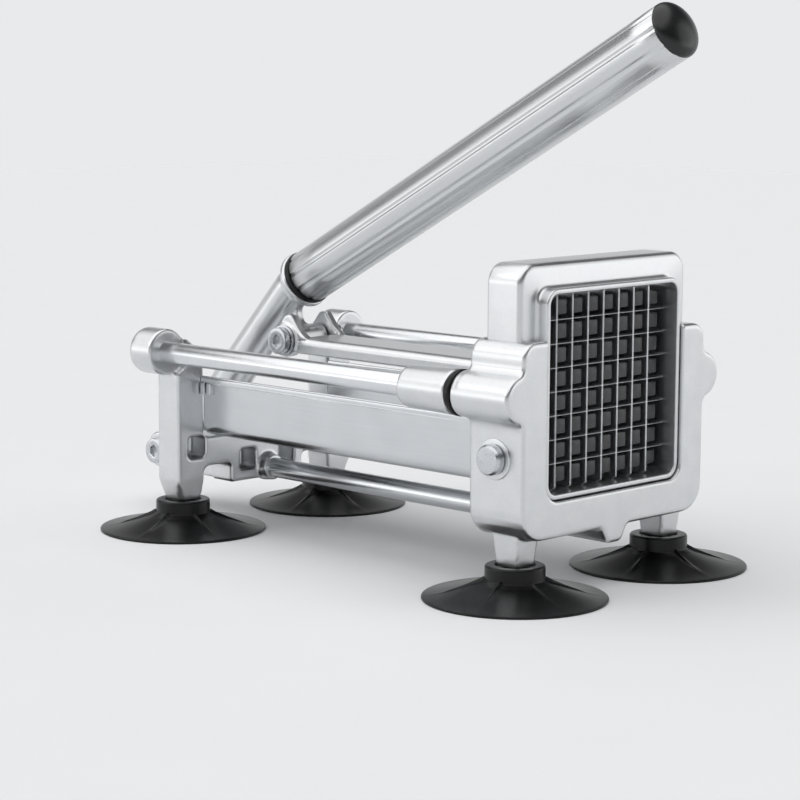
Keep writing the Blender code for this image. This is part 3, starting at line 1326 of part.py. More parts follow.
def lug_outline(along):
    """The lug's side outline: from its eye's tangents back into the lever's arm."""
    foot = PIVOT + along * (LINK_REAR - PIVOT).dot(along)
    points = [
        LINK_REAR - along * LUG_EYE_RADIUS,
        foot - along * LUG_SPREAD_DOWN,
        foot + along * LUG_SPREAD_UP,
        LINK_REAR + along * LUG_EYE_RADIUS,
    ]
    return [(point.y, point.z) for point in points]


def handle():
    """The fluted tube of the handle, its gasket and its domed cap."""
    outer = fluted_circle()
    bore = arc(0, 0, HANDLE_RADIUS - HANDLE_WALL, 0, 2 * math.pi, ROUND_STEPS)[:-1]
    piece(
        "handle_tube",
        prism([outer, bore], "XY", 0, HANDLE_LENGTH),
        DRAWN_ALUMINIUM,
        lever_axis,
        HANDLE_START,
        turn_to(HANDLE_AXIS),
    )
    half = GASKET_THICKNESS / 2
    inner = HANDLE_RADIUS - HANDLE_WALL
    ring = [
        (inner, half),
        (GASKET_RADIUS - half / 2, half),
        (GASKET_RADIUS, half / 2),
        (GASKET_RADIUS, -half / 2),
        (GASKET_RADIUS - half / 2, -half),
        (inner, -half),
    ]
    turned("handle_gasket", ring, BLACK_RUBBER, lever_axis, COLLAR, HANDLE_AXIS, True, WIDE_STEPS)
    dome = [
        (HANDLE_RADIUS * math.cos(a), GAP + CAP_DOME * math.sin(a))
        for a in [math.pi / 2 * k / DOME_STEPS for k in range(DOME_STEPS, -1, -1)]
    ]
    plug = HANDLE_RADIUS - HANDLE_WALL - GAP
    hollow = plug - CAP_PLUG_WALL
    points = [
        (0, dome[0][1]),
        *dome[1:],
        (plug, GAP),
        (plug, -CAP_PLUG),
        (hollow, -CAP_PLUG),
        (hollow, GAP),
        (0, GAP),
    ]
    turned("handle_cap", points, BLACK_PLASTIC, lever_axis, HANDLE_END, HANDLE_AXIS, steps=WIDE_STEPS)


def fluted_circle():
    """The tube's outline: a circle with shallow round flutes, evenly spread."""
    flute_shares = ((0, 0), (1 / 4, 3 / 4), (1 / 2, 1), (3 / 4, 3 / 4), (1, 0))
    land_shares = (1 / 3, 2 / 3)
    step = 2 * math.pi / FLUTE_COUNT
    span = FLUTE_WIDTH / HANDLE_RADIUS
    land = step - span
    points = []
    for k in range(FLUTE_COUNT):
        start = FLUTE_TURN + k * step - span / 2
        for width_share, depth_share in flute_shares:
            radius = HANDLE_RADIUS - FLUTE_DEPTH * depth_share
            angle = start + span * width_share
            points.append((radius * math.cos(angle), radius * math.sin(angle)))
        for share in land_shares:
            angle = start + span + land * share
            points.append((HANDLE_RADIUS * math.cos(angle), HANDLE_RADIUS * math.sin(angle)))
    return points


def lock_knob():
    """The pull knob that locks the cassette, and the spring that holds its plunger in."""
    pad_face = FRAME_HALF + KNOB_PAD_HEIGHT
    nose = CASSETTE_HALF - DIMPLE_DEPTH + GAP
    collar = CASSETTE_HALF + 2 * GAP
    head = pad_face + GAP
    outer = head + KNOB_THICKNESS
    points = [
        (0, outer),
        (KNOB_RADIUS - KNOB_ROUND, outer),
        (KNOB_RADIUS, outer - KNOB_ROUND),
        (KNOB_RADIUS, head),
        (PLUNGER_RADIUS, head),
        (PLUNGER_RADIUS, collar + PLUNGER_COLLAR),
        (PLUNGER_COLLAR_RADIUS, collar + PLUNGER_COLLAR),
        (PLUNGER_COLLAR_RADIUS, collar),
        (PLUNGER_RADIUS, collar),
        (PLUNGER_RADIUS, nose),
        (0, nose),
    ]
    turned("lock_knob", points, POLISHED_STEEL, knob_slide, (0, KNOB_BACK, KNOB_HEIGHT), (-1, 0, 0))
    coil_radius = PLUNGER_RADIUS + SPRING_CLEARANCE + SPRING_WIRE
    start = collar + PLUNGER_COLLAR + GAP + SPRING_WIRE
    end = CASSETTE_HALF + GAP + SPRING_CHAMBER - GAP - SPRING_WIRE
    curve = bpy.data.curves.new("lock_spring", "CURVE")
    curve.dimensions = "3D"
    curve.bevel_depth = SPRING_WIRE
    curve.bevel_resolution = 1
    curve.use_fill_caps = True
    spline = curve.splines.new("POLY")
    count = SPRING_TURNS * SPRING_POINTS + 1
    spline.points.add(count - 1)
    for k, point in enumerate(spline.points):
        turn = 2 * math.pi * k / SPRING_POINTS
        along = -(start + (end - start) * k / (count - 1))
        point.co = (along, coil_radius * math.cos(turn), coil_radius * math.sin(turn), 1)
    piece("lock_spring", curve, SATIN_STEEL, base, (0, KNOB_BACK, KNOB_HEIGHT))
    pitch = (end - start) / SPRING_TURNS
    print(f"lock_spring: least gap between its turns {(pitch - 2 * SPRING_WIRE) / MM:.2f} mm")


clear_scene()
pieces = collection("french_fry_cutter")
cutters = collection("cutters")

dome_reach = math.hypot(CAP_DOME * math.cos(HANDLE_ANGLE), HANDLE_RADIUS * math.sin(HANDLE_ANGLE))
front_end = HANDLE_END.y + HANDLE_AXIS.y * GAP - dome_reach
eye_reach = LEVER_EYE_RADIUS * math.cos(math.pi / ROUND_STEPS)  # one of its flats faces back
back_end = PIVOT.y + max(CHEEK_EYE_RADIUS, eye_reach)
middle_y = (front_end + back_end) / 2

base = bpy.data.objects.new("cutter_origin", None)
pieces.objects.link(base)
PLACES["cutter_origin"] = Vector((0, 0, 0))
base.location = (0, -middle_y, -FLOOR)
lever_axis = empty("lever_axis", PIVOT, base)
link_axis = empty("link_axis", LINK_REAR, lever_axis)
carriage_slide = empty("carriage_slide", (0, CARRIAGE_BACK, 0), base)
cassette_place = empty("cassette_place", (0, CASSETTE_BACK, 0), base)
knob_slide = empty("knob_slide", (-FRAME_HALF, KNOB_BACK, KNOB_HEIGHT), base)

front_frame()
rear_frame()
tray()
guide_parts()
for end, foot_y in (("front", FRONT_FOOT_PLACE), ("rear", REAR_FOOT_PLACE)):
    for hand, foot_side in (("left", -1), ("right", 1)):
        suction_foot(f"{end}_{hand}", foot_side * FOOT_HALF, foot_y)
cassette_frame()
blades()
lock_knob()
pusher_block()
carriage()
connecting_link()
pivots()
lever_casting()
handle()
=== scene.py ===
"""French fry cutter: the dressed model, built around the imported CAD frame.

Places are worked out from the middle of the blade grid, as in the part's source: X to the
right seen from the front, Y from the front to the back, Z up, lengths in millimetres.
"""

import math

import bmesh
import bpy
import numpy as np
from mathutils import Matrix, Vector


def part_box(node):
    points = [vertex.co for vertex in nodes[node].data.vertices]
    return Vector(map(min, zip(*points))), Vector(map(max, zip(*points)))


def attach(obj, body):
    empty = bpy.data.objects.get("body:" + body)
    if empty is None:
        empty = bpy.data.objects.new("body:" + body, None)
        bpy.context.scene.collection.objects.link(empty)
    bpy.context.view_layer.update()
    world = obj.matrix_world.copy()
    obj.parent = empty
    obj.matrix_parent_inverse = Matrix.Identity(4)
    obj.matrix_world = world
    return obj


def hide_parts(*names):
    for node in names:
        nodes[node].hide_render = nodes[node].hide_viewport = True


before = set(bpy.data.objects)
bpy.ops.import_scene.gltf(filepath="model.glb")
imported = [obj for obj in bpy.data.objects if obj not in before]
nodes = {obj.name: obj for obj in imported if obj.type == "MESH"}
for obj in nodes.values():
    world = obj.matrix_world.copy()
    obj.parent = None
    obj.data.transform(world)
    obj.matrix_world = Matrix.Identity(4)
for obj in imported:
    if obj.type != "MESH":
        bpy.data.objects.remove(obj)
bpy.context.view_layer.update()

MM = 0.001
TURN = 2 * math.pi
RIGHT_ANGLE = math.pi / 2

# The middle of the blade grid in the frame's own place
CASSETTE_BACK = 18.0
cassette_low, cassette_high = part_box("cassette_frame")
ORIGIN = np.array((0, cassette_high.y - CASSETTE_BACK * MM, (cassette_low.z + cassette_high.z) / 2))

# Main places, as in the part's source
ROD_HALF = 59.5
FOOT_HALF = 47.5
FRONT_FOOT = 6.2
REAR_FOOT = 216.8
FLOOR = -85.5
FRAME_FRONT, FRAME_BACK = -8.0, 22.0
REAR_FRONT, REAR_BACK = 209.3, 224.3
SLEEVE_FRONT = 27.8
SCREW_HALF = 25.0
SCREW_HOLE = 4.3
HANDLE_ANGLE = math.radians(28.1)
PIVOT = np.array((0, 269.3, -57.5))
COLLAR = PIVOT + (0, -88.4, 90.9)
HANDLE_AXIS = np.array((0, -math.cos(HANDLE_ANGLE), math.sin(HANDLE_ANGLE)))
LINK_REAR = COLLAR + (0, 1.3, -28.8)
LINK_FRONT = LINK_REAR - (0, 132.5, 0)
TIE_ROD = -60.2
TUBE_RADIUS = 12.5
CELLS, PITCH = 8, 10.0
CELL_PLACES = (np.arange(CELLS) - (CELLS - 1) / 2) * PITCH
BLADE_PLACES = (np.arange(CELLS - 1) - (CELLS - 2) / 2) * PITCH

# Points closer than this, in millimetres, become one
WELD = 0.002


# Surfaces


def unit(vector):
    """A vector made one long."""
    return np.asarray(vector, float) / np.linalg.norm(vector)


def axes_across(axis):
    """Two unit directions across an axis, so that (first, second, axis) is right-handed."""
    axis = unit(axis)
    guide = np.array((0, 0, 1.0)) if abs(axis[2]) < 0.9 else np.array((1.0, 0, 0))
    first = unit(np.cross(guide, axis))
    return first, np.cross(axis, first)


def arc(centre, radius, start, end, steps):
    """Points (u, v) of an arc: centre + radius * (cos a, sin a), a from start to end."""
    angles = np.linspace(start, end, steps + 1)
    across, up = centre[0] + radius * np.cos(angles), centre[1] + radius * np.sin(angles)
    return np.stack((across, up), axis=1)


def rounded(corners, steps=6):
    """Corners (u, v, radius) as an outline: each corner is the arc tangent to its two sides."""
    corners = [(*corner, 0)[:3] for corner in corners]
    parts = []
    for i, (u, v, radius) in enumerate(corners):
        corner = np.array((u, v), float)
        if not radius:
            parts.append(corner[None])
            continue
        to_last = unit(np.array(corners[i - 1][:2]) - corner)
        to_next = unit(np.array(corners[(i + 1) % len(corners)][:2]) - corner)
        half = math.acos(np.clip(to_last @ to_next, -1, 1)) / 2
        centre = corner + unit(to_last + to_next) * radius / math.sin(half)
        first = corner + to_last * radius / math.tan(half) - centre
        last = corner + to_next * radius / math.tan(half) - centre
        start = math.atan2(first[1], first[0])
        sweep = math.remainder(math.atan2(last[1], last[0]) - start, TURN)
        parts.append(arc(centre, radius, start, start + sweep, steps))
    return np.concatenate(parts)


def rectangle(u_low, u_high, v_low, v_high, radius=0.0, steps=6):
    """The outline of a rectangle with round corners."""
    corners = ((u_low, v_low), (u_high, v_low), (u_high, v_high), (u_low, v_high))
    return rounded([(u, v, radius) for u, v in corners], steps)


def inset(outline, distance):
    """An outline moved inwards: each point slides along the mean of its sides' inward normals.

    It slides by distance / cos(half its turn), and that cosine is held at 0.3 or more, so that
    the point of a very sharp corner doesn't run away.
    """
    before = outline - np.roll(outline, 1, axis=0)
    after = np.roll(outline, -1, axis=0) - outline
    before /= np.linalg.norm(before, axis=1, keepdims=True)
    after /= np.linalg.norm(after, axis=1, keepdims=True)
    u, v = outline.T
    turning = np.sign(np.sum(u * np.roll(v, -1) - np.roll(u, -1) * v))
    normals = np.stack((-(before + after)[:, 1], (before + after)[:, 0]), axis=1) * turning
    normals /= np.linalg.norm(normals, axis=1, keepdims=True)
    sides = np.stack((-before[:, 1], before[:, 0]), axis=1) * turning
    share = np.clip(np.sum(normals * sides, axis=1, keepdims=True), 0.3, 1)
    return outline + normals * distance / share


def sheet_faces(rows, around, close_rows=False, close_around=True, caps=True):
    """Quads between each row of points and the next, and a flat face on each open end."""
    index = np.arange(rows * around).reshape(rows, around)
    down = np.roll(index, -1, axis=0) if close_rows else index[1:]
    here = index if close_rows else index[:-1]
    right = np.roll(here, -1, axis=1)
    down_right = np.roll(down, -1, axis=1)
    quads = np.stack((here, right, down_right, down), axis=-1)
    if not close_around:
        quads = quads[:, :-1]
    faces = quads.reshape(-1, 4).tolist()
    if caps and not close_rows:
        faces += [index[0, ::-1].tolist(), index[-1].tolist()]
    return faces


def make(name, points, faces, sharp=32):
    """An object from points in millimetres about the grid's middle, with its seams closed."""
    mesh = bpy.data.meshes.new(name)
    points = np.asarray(points, float).reshape(-1, 3) * MM + ORIGIN
    mesh.from_pydata(points.tolist(), [], faces)
    work = bmesh.new()
    work.from_mesh(mesh)
    bmesh.ops.remove_doubles(work, verts=work.verts, dist=WELD * MM)
    bmesh.ops.recalc_face_normals(work, faces=work.faces)
    work.to_mesh(mesh)
    work.free()
    mesh.shade_smooth()
    mesh.set_sharp_from_angle(angle=math.radians(sharp))
    obj = bpy.data.objects.new(name, mesh)
    bpy.context.scene.collection.objects.link(obj)
    return obj


def turned(name, profile, place, axis, sides=64, ring=False):
    """A turned form: place + height * axis + radius * (cos a * first + sin a * second)."""
    radius, height = np.asarray(profile, float).T
    first, second = axes_across(axis)
    angles = np.linspace(0, TURN, sides, endpoint=False)[:, None, None]
    across = np.cos(angles) * first + np.sin(angles) * second
    points = np.asarray(place) + height[None, :, None] * unit(axis) + radius[None, :, None] * across
    faces = sheet_faces(sides, len(radius), close_rows=True, close_around=ring, caps=False)
    return make(name, points, faces)


# The axes of an outline's u and v, and the axis across them
PLANES = {"XY": (0, 1, 2), "XZ": (0, 2, 1), "YZ": (1, 2, 0)}


def slab(name, outline, plane, low, high, edge=0.0, steps=4):
    """An outline carried across its plane, from low to high: a quarter circle insets each end."""
    u, v, across = PLANES[plane]
    angles = np.linspace(0, RIGHT_ANGLE, steps + 1) if edge else np.array((RIGHT_ANGLE,))
    insets = edge * (1 - np.sin(angles))
    depths = edge * (1 - np.cos(angles))
    insets = np.concatenate((insets, insets[::-1]))
    places = np.concatenate((low + depths, (high - depths)[::-1]))
    rows = np.empty((len(insets), len(outline), 3))
    for row, (distance, at) in zip(rows, zip(insets, places)):
        row[:, (u, v)] = inset(outline, distance) if distance else outline
        row[:, across] = at
    return make(name, rows, sheet_faces(*rows.shape[:2]))


# Materials


def colour(code):
    """An sRGB hex colour as linear light."""
    values = [int(code[i : i + 2], 16) / 255 for i in (1, 3, 5)]
    return (*[v / 12.92 if v <= 0.04045 else ((v + 0.055) / 1.055) ** 2.4 for v in values], 1.0)


def add(tree, kind, links=None, **settings):
    """Adds one node: settings are its properties, links give its inputs a value or a socket."""
    made = tree.nodes.new("ShaderNode" + kind)
    for name, value in settings.items():
        setattr(made, name, value)
    for name, value in (links or {}).items():
        if isinstance(value, bpy.types.NodeSocket):
            tree.links.new(value, made.inputs[name])
        else:
            made.inputs[name].default_value = value
    return made


def blend(tree, share, first, last):
    """The socket of a colour between two hex colours."""
    sockets = {"Factor": share, "A": colour(first), "B": colour(last)}
    return add(tree, "Mix", sockets, data_type="RGBA").outputs["Result"]


def finish_of(name, dark, pale, rough, metallic, grains, bump, turn=(0, 0, 0), **fixed):
    """A material whose colour, roughness and bump follow the sum of a few noise patterns.

    grains: size in mm along x, y and z, and weight, of each pattern; rough: lowest and highest;
    bump: height in mm; turn: how the patterns are turned; fixed: values of the shader's sockets.
    """
    material = bpy.data.materials.new(name)
    material.use_nodes = True
    tree = material.node_tree
    shader = tree.nodes["Principled BSDF"]
    place = add(tree, "TexCoord").outputs["Object"]
    total = None
    for size, weight in grains:
        mapped = add(
            tree,
            "Mapping",
            {"Vector": place, "Rotation": turn, "Scale": tuple(s * MM for s in size)},
            vector_type="TEXTURE",
        )
        grain = add(tree, "TexNoise", {"Vector": mapped.outputs[0], "Scale": 1.0, "Detail": 3.0})
        scaled = add(tree, "Math", {0: grain.outputs[0], 1: weight}, operation="MULTIPLY")
        if total:
            total = add(tree, "Math", {0: scaled.outputs[0], 1: total}, operation="ADD").outputs[0]
        else:
            total = scaled.outputs[0]
    tree.links.new(blend(tree, total, dark, pale), shader.inputs["Base Color"])
    gloss = add(tree, "MapRange", {"Value": total, "To Min": rough[0], "To Max": rough[1]})
    tree.links.new(gloss.outputs[0], shader.inputs["Roughness"])
    relief = add(tree, "Bump", {"Height": total, "Distance": bump * MM, "Strength": 1.0})
    tree.links.new(relief.outputs[0], shader.inputs["Normal"])
    shader.inputs["Metallic"].default_value = metallic
    for socket, value in fixed.items():
        shader.inputs[socket].default_value = value
    return material


# Pressure die casting, tumbled: a bright soft mirror with a fine orange-peel skin
CAST_ALUMINIUM = finish_of(
    "die_cast_aluminium",
    dark="#C9CBCD",
    pale="#E4E5E6",
    rough=(0.24, 0.38),
    metallic=1.0,
    grains=(((0.9,) * 3, 0.45), ((9.0,) * 3, 0.55)),
    bump=0.02,
)
# Ground and chromed bar: a clear mirror, with faint grinding rings and long slow waves
CHROMED_STEEL = finish_of(
    "ground_chromed_steel",
    dark="#D3D5D8",
    pale="#E6E8EA",
    rough=(0.2, 0.28),
    metallic=1.0,
    grains=(((5.0, 0.6, 5.0), 0.3), ((6.0,) * 3, 0.7)),
    bump=0.001,
)
# Rolled stainless strip with ground edges: fine lines along the strip spread the light
BLADE_STEEL = finish_of(
    "stainless_blade_steel",
    dark="#DDDFE1",
    pale="#F0F1F2",
    rough=(0.24, 0.36),
    metallic=1.0,
    grains=(((0.5, 3.0, 0.5), 0.5), ((5.0,) * 3, 0.5)),
    bump=0.002,
)
# Cold-rolled stainless sheet: the rolling lines run along the tray and stretch its reflections
TRAY_STEEL = finish_of(
    "rolled_stainless_sheet",
    dark="#C2C4C7",
    pale="#DCDEE0",
    rough=(0.16, 0.3),
    metallic=1.0,
    grains=(((0.5, 40.0, 0.5), 0.6), ((14.0,) * 3, 0.4)),
    bump=0.004,
)
# Drawn tube: the die leaves long lines, coarsened to half a millimetre so that they show
DRAWN_ALUMINIUM = finish_of(
    "drawn_aluminium_tube",
    dark="#C3C5C7",
    pale="#E2E3E4",
    rough=(0.22, 0.36),
    metallic=1.0,
    grains=(((0.45, 0.45, 60.0), 0.6), ((2.4, 2.4, 90.0), 0.4)),
    bump=0.004,
    turn=(math.atan2(-HANDLE_AXIS[1], HANDLE_AXIS[2]), 0, 0),
)
# Bright zinc plating: slightly cloudy, with a darker crystal grain than the cast parts
ZINC_STEEL = finish_of(
    "zinc_plated_steel",
    dark="#B4B7BA",
    pale="#DADCDF",
    rough=(0.22, 0.34),
    metallic=1.0,
    grains=(((0.8,) * 3, 0.4), ((3.0,) * 3, 0.6)),
    bump=0.002,
)
# Rubber from a polished mould: near black, with soft bright edges and slow waves in the skin
MOULDED_RUBBER = finish_of(
    "moulded_rubber",
    dark="#020202",
    pale="#080808",
    rough=(0.24, 0.36),
    metallic=0.0,
    grains=(((1.4,) * 3, 0.3), ((14.0,) * 3, 0.7)),
    bump=0.008,
    **{"Specular IOR Level": 0.3},
)
# Injection-moulded nylon: dark grey and half glossy, so the fingers' faces catch the light
MOULDED_NYLON = finish_of(
    "moulded_black_nylon",
    dark="#2E2F30",
    pale="#434445",
    rough=(0.26, 0.4),
    metallic=0.0,
    grains=(((0.7,) * 3, 0.5), ((6.0,) * 3, 0.5)),
    bump=0.01,
)
# Dipped vinyl: smooth and black, with one rounded highlight
SOFT_PVC = finish_of(
    "dipped_black_vinyl",
    dark="#0B0B0C",
    pale="#1A1B1C",
    rough=(0.24, 0.34),
    metallic=0.0,
    grains=(((2.0,) * 3, 0.5), ((9.0,) * 3, 0.5)),
    bump=0.01,
)
# Turned nylon bush: warm off-white, with fine rings left by the lathe
PALE_NYLON = finish_of(
    "turned_pale_nylon",
    dark="#CFCBBE",
    pale="#E2DED2",
    rough=(0.35, 0.5),
    metallic=0.0,
    grains=(((5.0, 0.5, 5.0), 0.6), ((5.0,) * 3, 0.4)),
    bump=0.01,
)

BY_SLOT = {
    "cast_aluminium": CAST_ALUMINIUM,
    "polished_steel": CHROMED_STEEL,
    "satin_steel": ZINC_STEEL,
    "drawn_aluminium": DRAWN_ALUMINIUM,
    "black_rubber": MOULDED_RUBBER,
    "black_plastic": MOULDED_NYLON,
    "nylon": PALE_NYLON,
}


def dress(obj, material):
    """Gives an object one material in place of those it has."""
    obj.data.materials.clear()
    obj.data.materials.append(material)


for node in nodes.values():
    slot_name = node.data.materials[0].name.split(".")[0] if node.data.materials else ""
    dress(node, BY_SLOT.get(slot_name, CAST_ALUMINIUM))


# Joining forms


def bake(obj):
    """Puts what an object's modifiers make into its mesh."""
    graph = bpy.context.evaluated_depsgraph_get()
    mesh = bpy.data.meshes.new_from_object(obj.evaluated_get(graph))
    obj.modifiers.clear()
    obj.data = mesh
    mesh.name = obj.name


def combine(obj, others, operation):
    """Joins other objects to one, or cuts them from it, and removes them."""
    for other in others:
        step = obj.modifiers.new(other.name, "BOOLEAN")
        step.operation = operation
        step.object = other
    if others:
        bake(obj)
    for other in others:
        bpy.data.objects.remove(other)


def cast(name, forms, cuts, cell):
    """A casting: forms joined and cut, then rebuilt in small cells and relaxed.

    Relaxing moves each point half way to the mean of its neighbours, five times over, so
    flat faces stay flat and every edge and inner corner gets the fillet of a real casting.
    """
    obj = forms[0]
    combine(obj, forms[1:], "UNION")
    combine(obj, cuts, "DIFFERENCE")
    obj.name = name
    cells = obj.modifiers.new("cells", "REMESH")
    cells.mode = "VOXEL"
    cells.voxel_size = cell * MM
    cells.use_smooth_shade = True
    relax = obj.modifiers.new("relax", "SMOOTH")
    relax.factor = 0.5
    relax.iterations = 5
    bake(obj)
    obj.data.shade_smooth()
    return obj


def fit(obj, body, material, slot, *replaced):
    """Gives a piece its finish and its body, and hides the CAD nodes that it stands for; the slot
    is not used.
    """
    dress(obj, material)
    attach(obj, body)
    if replaced:
        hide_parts(*replaced)
    return obj


def bar(start, end, radius, end_radius=None, edge=0.6):
    """A round bar or cone between two points, with rounded ends."""
    start, end = np.asarray(start, float), np.asarray(end, float)
    length = np.linalg.norm(end - start)
    far = radius if end_radius is None else end_radius
    profile = rounded([(0, 0, 0), (radius, 0, edge), (far, length, edge), (0, length, 0)], 3)
    return turned("bar", profile, start, end - start)


def block(low, high, edge):
    """A block with rounded upright edges and ends."""
    outline = rectangle(low[0], high[0], low[1], high[1], edge, 3)
    return slab("block", outline, "XY", low[2], high[2], edge, 3)


def along_y(x, z, start, end, radius, **more):
    """A bar from front to back."""
    return bar((x, start, z), (x, end, z), radius, **more)


def along_x(y, z, start, end, radius, **more):
    """A bar from left to right."""
    return bar((start, y, z), (end, y, z), radius, **more)


# Front frame and cassette


def bump_outline(half):
    """The frame's right side round a rod boss: an inner arc, the boss's own arc, an inner arc."""
    fillet, radius = 4.0, 10.0
    offset = half + fillet - ROD_HALF
    height = math.sqrt((radius + fillet) ** 2 - offset**2)
    tilt = math.atan2(height, offset)
    top = arc((half + fillet, height), fillet, math.pi, math.pi + tilt, 8)
    nose = arc((ROD_HALF, 0), radius, tilt, -tilt, 24)
    return [(x, z, 0) for x, z in np.concatenate((top[:-1], nose, (top * (1, -1))[::-1][1:]))]


def foot_boss(x, y, inner=(5.5, 6.4, 7.3), outer=(5.5, 6.4, 7.3), deep=(5.9, 7.1, 7.7), wide=9.3):
    """A tapered post: at angle a its radius is the least of across / |cos a|, along / |sin a| and
    the radius of a cone that narrows downwards, so only its lower corners are round.

    inner, outer and deep are its half widths at three heights, towards the object's middle, away
    from it and along y; wide is the cone's radius where it starts to narrow.
    """
    foot, rim = -71.8, -71.3
    level = np.array((-50.0, -58.0, -61.0, -64.0, -67.0, -69.5, rim, foot))[:, None]
    # Turned a little, so that no angle has a sine or cosine of zero
    angles = np.linspace(0, TURN, 96, endpoint=False) + 1e-3
    heights = (-72, -61, -50)
    far, near = np.interp(level, heights, outer), np.interp(level, heights, inner)
    across = np.where(np.cos(angles) * x > 0, far, near)
    along = np.interp(level, heights, deep)
    cone = np.interp(level, (foot, rim, -60.0, -55.0), (7.0, 7.6, wide, wide + 3))
    radius = np.minimum(across / np.abs(np.cos(angles)), along / np.abs(np.sin(angles)))
    radius = np.minimum(radius, cone)
    ring = (x + radius * np.cos(angles), y + radius * np.sin(angles), level + 0 * radius)
    return make("foot_boss", np.stack(ring, axis=-1), sheet_faces(*radius.shape))


def front_frame():
    """The U-shaped casting: its outline carried from front to back, with bosses, less its slots."""
    throat, side_x, top, bottom = 40.5, 59.3, 23.0, -59.5
    half = [
        (throat, top, 3.0),
        (side_x, top, 7.0),
        *bump_outline(side_x),
        (side_x, bottom, 12.0),
        (8.5, bottom, 3.2),
        (4.5, bottom - 7.0, 3.2),
    ]
    outline = half + [(-x, z, radius) for x, z, radius in half[::-1]]
    outline += [(-throat, -throat, 0.9), (throat, -throat, 0.9)]
    forms = [slab("front_casting", rounded(outline), "XZ", FRAME_FRONT, FRAME_BACK, edge=1.5)]
    for side in (-1, 1):
        forms.append(along_y(side * ROD_HALF, 0, 18.0, 24.2, 9.8, edge=0.8))
        forms.append(foot_boss(side * FOOT_HALF, FRONT_FOOT))
    slot, window, above = 54.3, 44.3, 80.0
    slot_outline = rectangle(-slot, slot, -slot, above, radius=8.5)
    window_outline = rectangle(-window, window, -window, above, radius=7.5)
    cuts = [
        slab("cassette_slot", slot_outline, "XZ", -1.0, CASSETTE_BACK + 0.3),
        slab("front_window", window_outline, "XZ", FRAME_FRONT - 4.0, 0.5),
    ]
    obj = cast("front_casting", forms, cuts, cell=0.62)
    fit(obj, "base", CAST_ALUMINIUM, "cast_aluminium", "front_frame")


def cassette_frame():
    """A section carried round a square: each of its points is a rounded square of its own size."""
    opening, rim, outside, front, rim_front = 41.6, 43.8, 54.0, -0.7, -6.6
    section = rounded(
        [
            (outside, front, 2.4),
            (outside, CASSETTE_BACK, 1.8),
            (opening, CASSETTE_BACK, 0.5),
            (opening, rim_front, 0.6),
            (rim, rim_front, 0.8),
            (rim, front, 1.7),
        ],
        5,
    )
    half, depth = section.T
    corner = np.interp(half, (opening, rim, 51.6, outside), (4.8, 7.0, 7.1, 8.5))
    angles = np.linspace(0, RIGHT_ANGLE, 13)
    corners = np.array(((1, 1, 0), (-1, 1, 1), (-1, -1, 2), (1, -1, 3)))
    angle = (angles[None] + corners[:, 2:] * RIGHT_ANGLE).ravel()
    side = np.repeat(corners[:, :2], len(angles), axis=0)
    points = np.empty((len(half), len(angle), 3))
    points[..., 0] = side[:, 0] * (half - corner)[:, None] + corner[:, None] * np.cos(angle)
    points[..., 2] = side[:, 1] * (half - corner)[:, None] + corner[:, None] * np.sin(angle)
    points[..., 1] = depth[:, None]
    obj = make("cassette_casting", points, sheet_faces(*points.shape[:2], close_rows=True))
    fit(obj, "base", CAST_ALUMINIUM, "cast_aluminium", "cassette_frame")


def blade(name, at, upright):
    """A blade: its section, thin at the cutting edge, carried along, and stepped at each slot.

    Six points go round the section: edge, shoulder and back on each side. In the slots of an
    upright blade the back points come forward to the middle, in a level blade the front ones
    go back to it, and in the end tongues the front ones start behind the edge.
    """
    thin, thick, ground, deep, lap, tongue, step = 0.05, 0.25, 0.5, 16.0, 8.0, 3.0, 0.27
    near = ((0.0, -thin), (ground, -thick), (deep, -thick))
    plain = (*near, (deep, thick), (ground, thick), (0.0, thin))
    if upright:
        slotted = (*plain[:2], (lap, -thick), (lap, thick), *plain[4:])
    else:
        slotted = ((lap, -thick), (lap, -thick), *plain[2:4], (lap, thick), (lap, thick))
    ended = ((tongue, -thick), (tongue, -thick), *plain[2:4], (tongue, thick), (tongue, thick))
    end = [-43.9, -41.8, -40.3]
    places = list(end)
    sections = [ended, ended, plain]
    for crossing in BLADE_PLACES:
        places += [crossing - step, crossing - step, crossing + step, crossing + step]
        sections += [plain, slotted, slotted, plain]
    places += [-place for place in end[::-1]]
    sections += [plain, ended, ended]
    depth, across = np.moveaxis(np.array(sections, float), -1, 0)
    rows = np.empty((len(places), 6, 3))
    rows[..., 1] = depth
    rows[..., 0 if upright else 2] = across + at
    rows[..., 2 if upright else 0] = np.array(places)[:, None]
    return make(name, rows, sheet_faces(*rows.shape[:2]), sharp=20)


def blades():
    """The seven upright and seven level blades of the grid."""
    for number, at in enumerate(BLADE_PLACES, 1):
        for word, upright in (("upright", True), ("level", False)):
            obj = blade(f"{word}_strip_{number}", at, upright)
            fit(obj, "base", BLADE_STEEL, "satin_steel", f"{word}_blade_{number}")


def lock_knob():
    """The turned pull knob with the plunger behind it, and the round pad that it stands on."""
    place = (0, 7.5, -25.6)
    disc = [(0, 64.4), (5.5, 64.4, 0.3), (6.5, 63.4, 0.5), (6.5, 60.4, 0.4)]
    plunger = [(2.5, 60.4), (2.5, 52.8), (0, 52.8)]
    obj = turned("knob_disc", rounded(disc + plunger, 4), place, (-1, 0, 0), 72)
    fit(obj, "knob", ZINC_STEEL, "polished_steel", "lock_knob")
    pad = rounded([(0, 57.5), (8.7, 57.5), (8.7, 60.1, 0.4), (0, 60.1)], 4)
    obj = turned("knob_pad", pad, place, (-1, 0, 0), 96)
    fit(obj, "base", CAST_ALUMINIUM, "cast_aluminium")


# Pusher and carriage


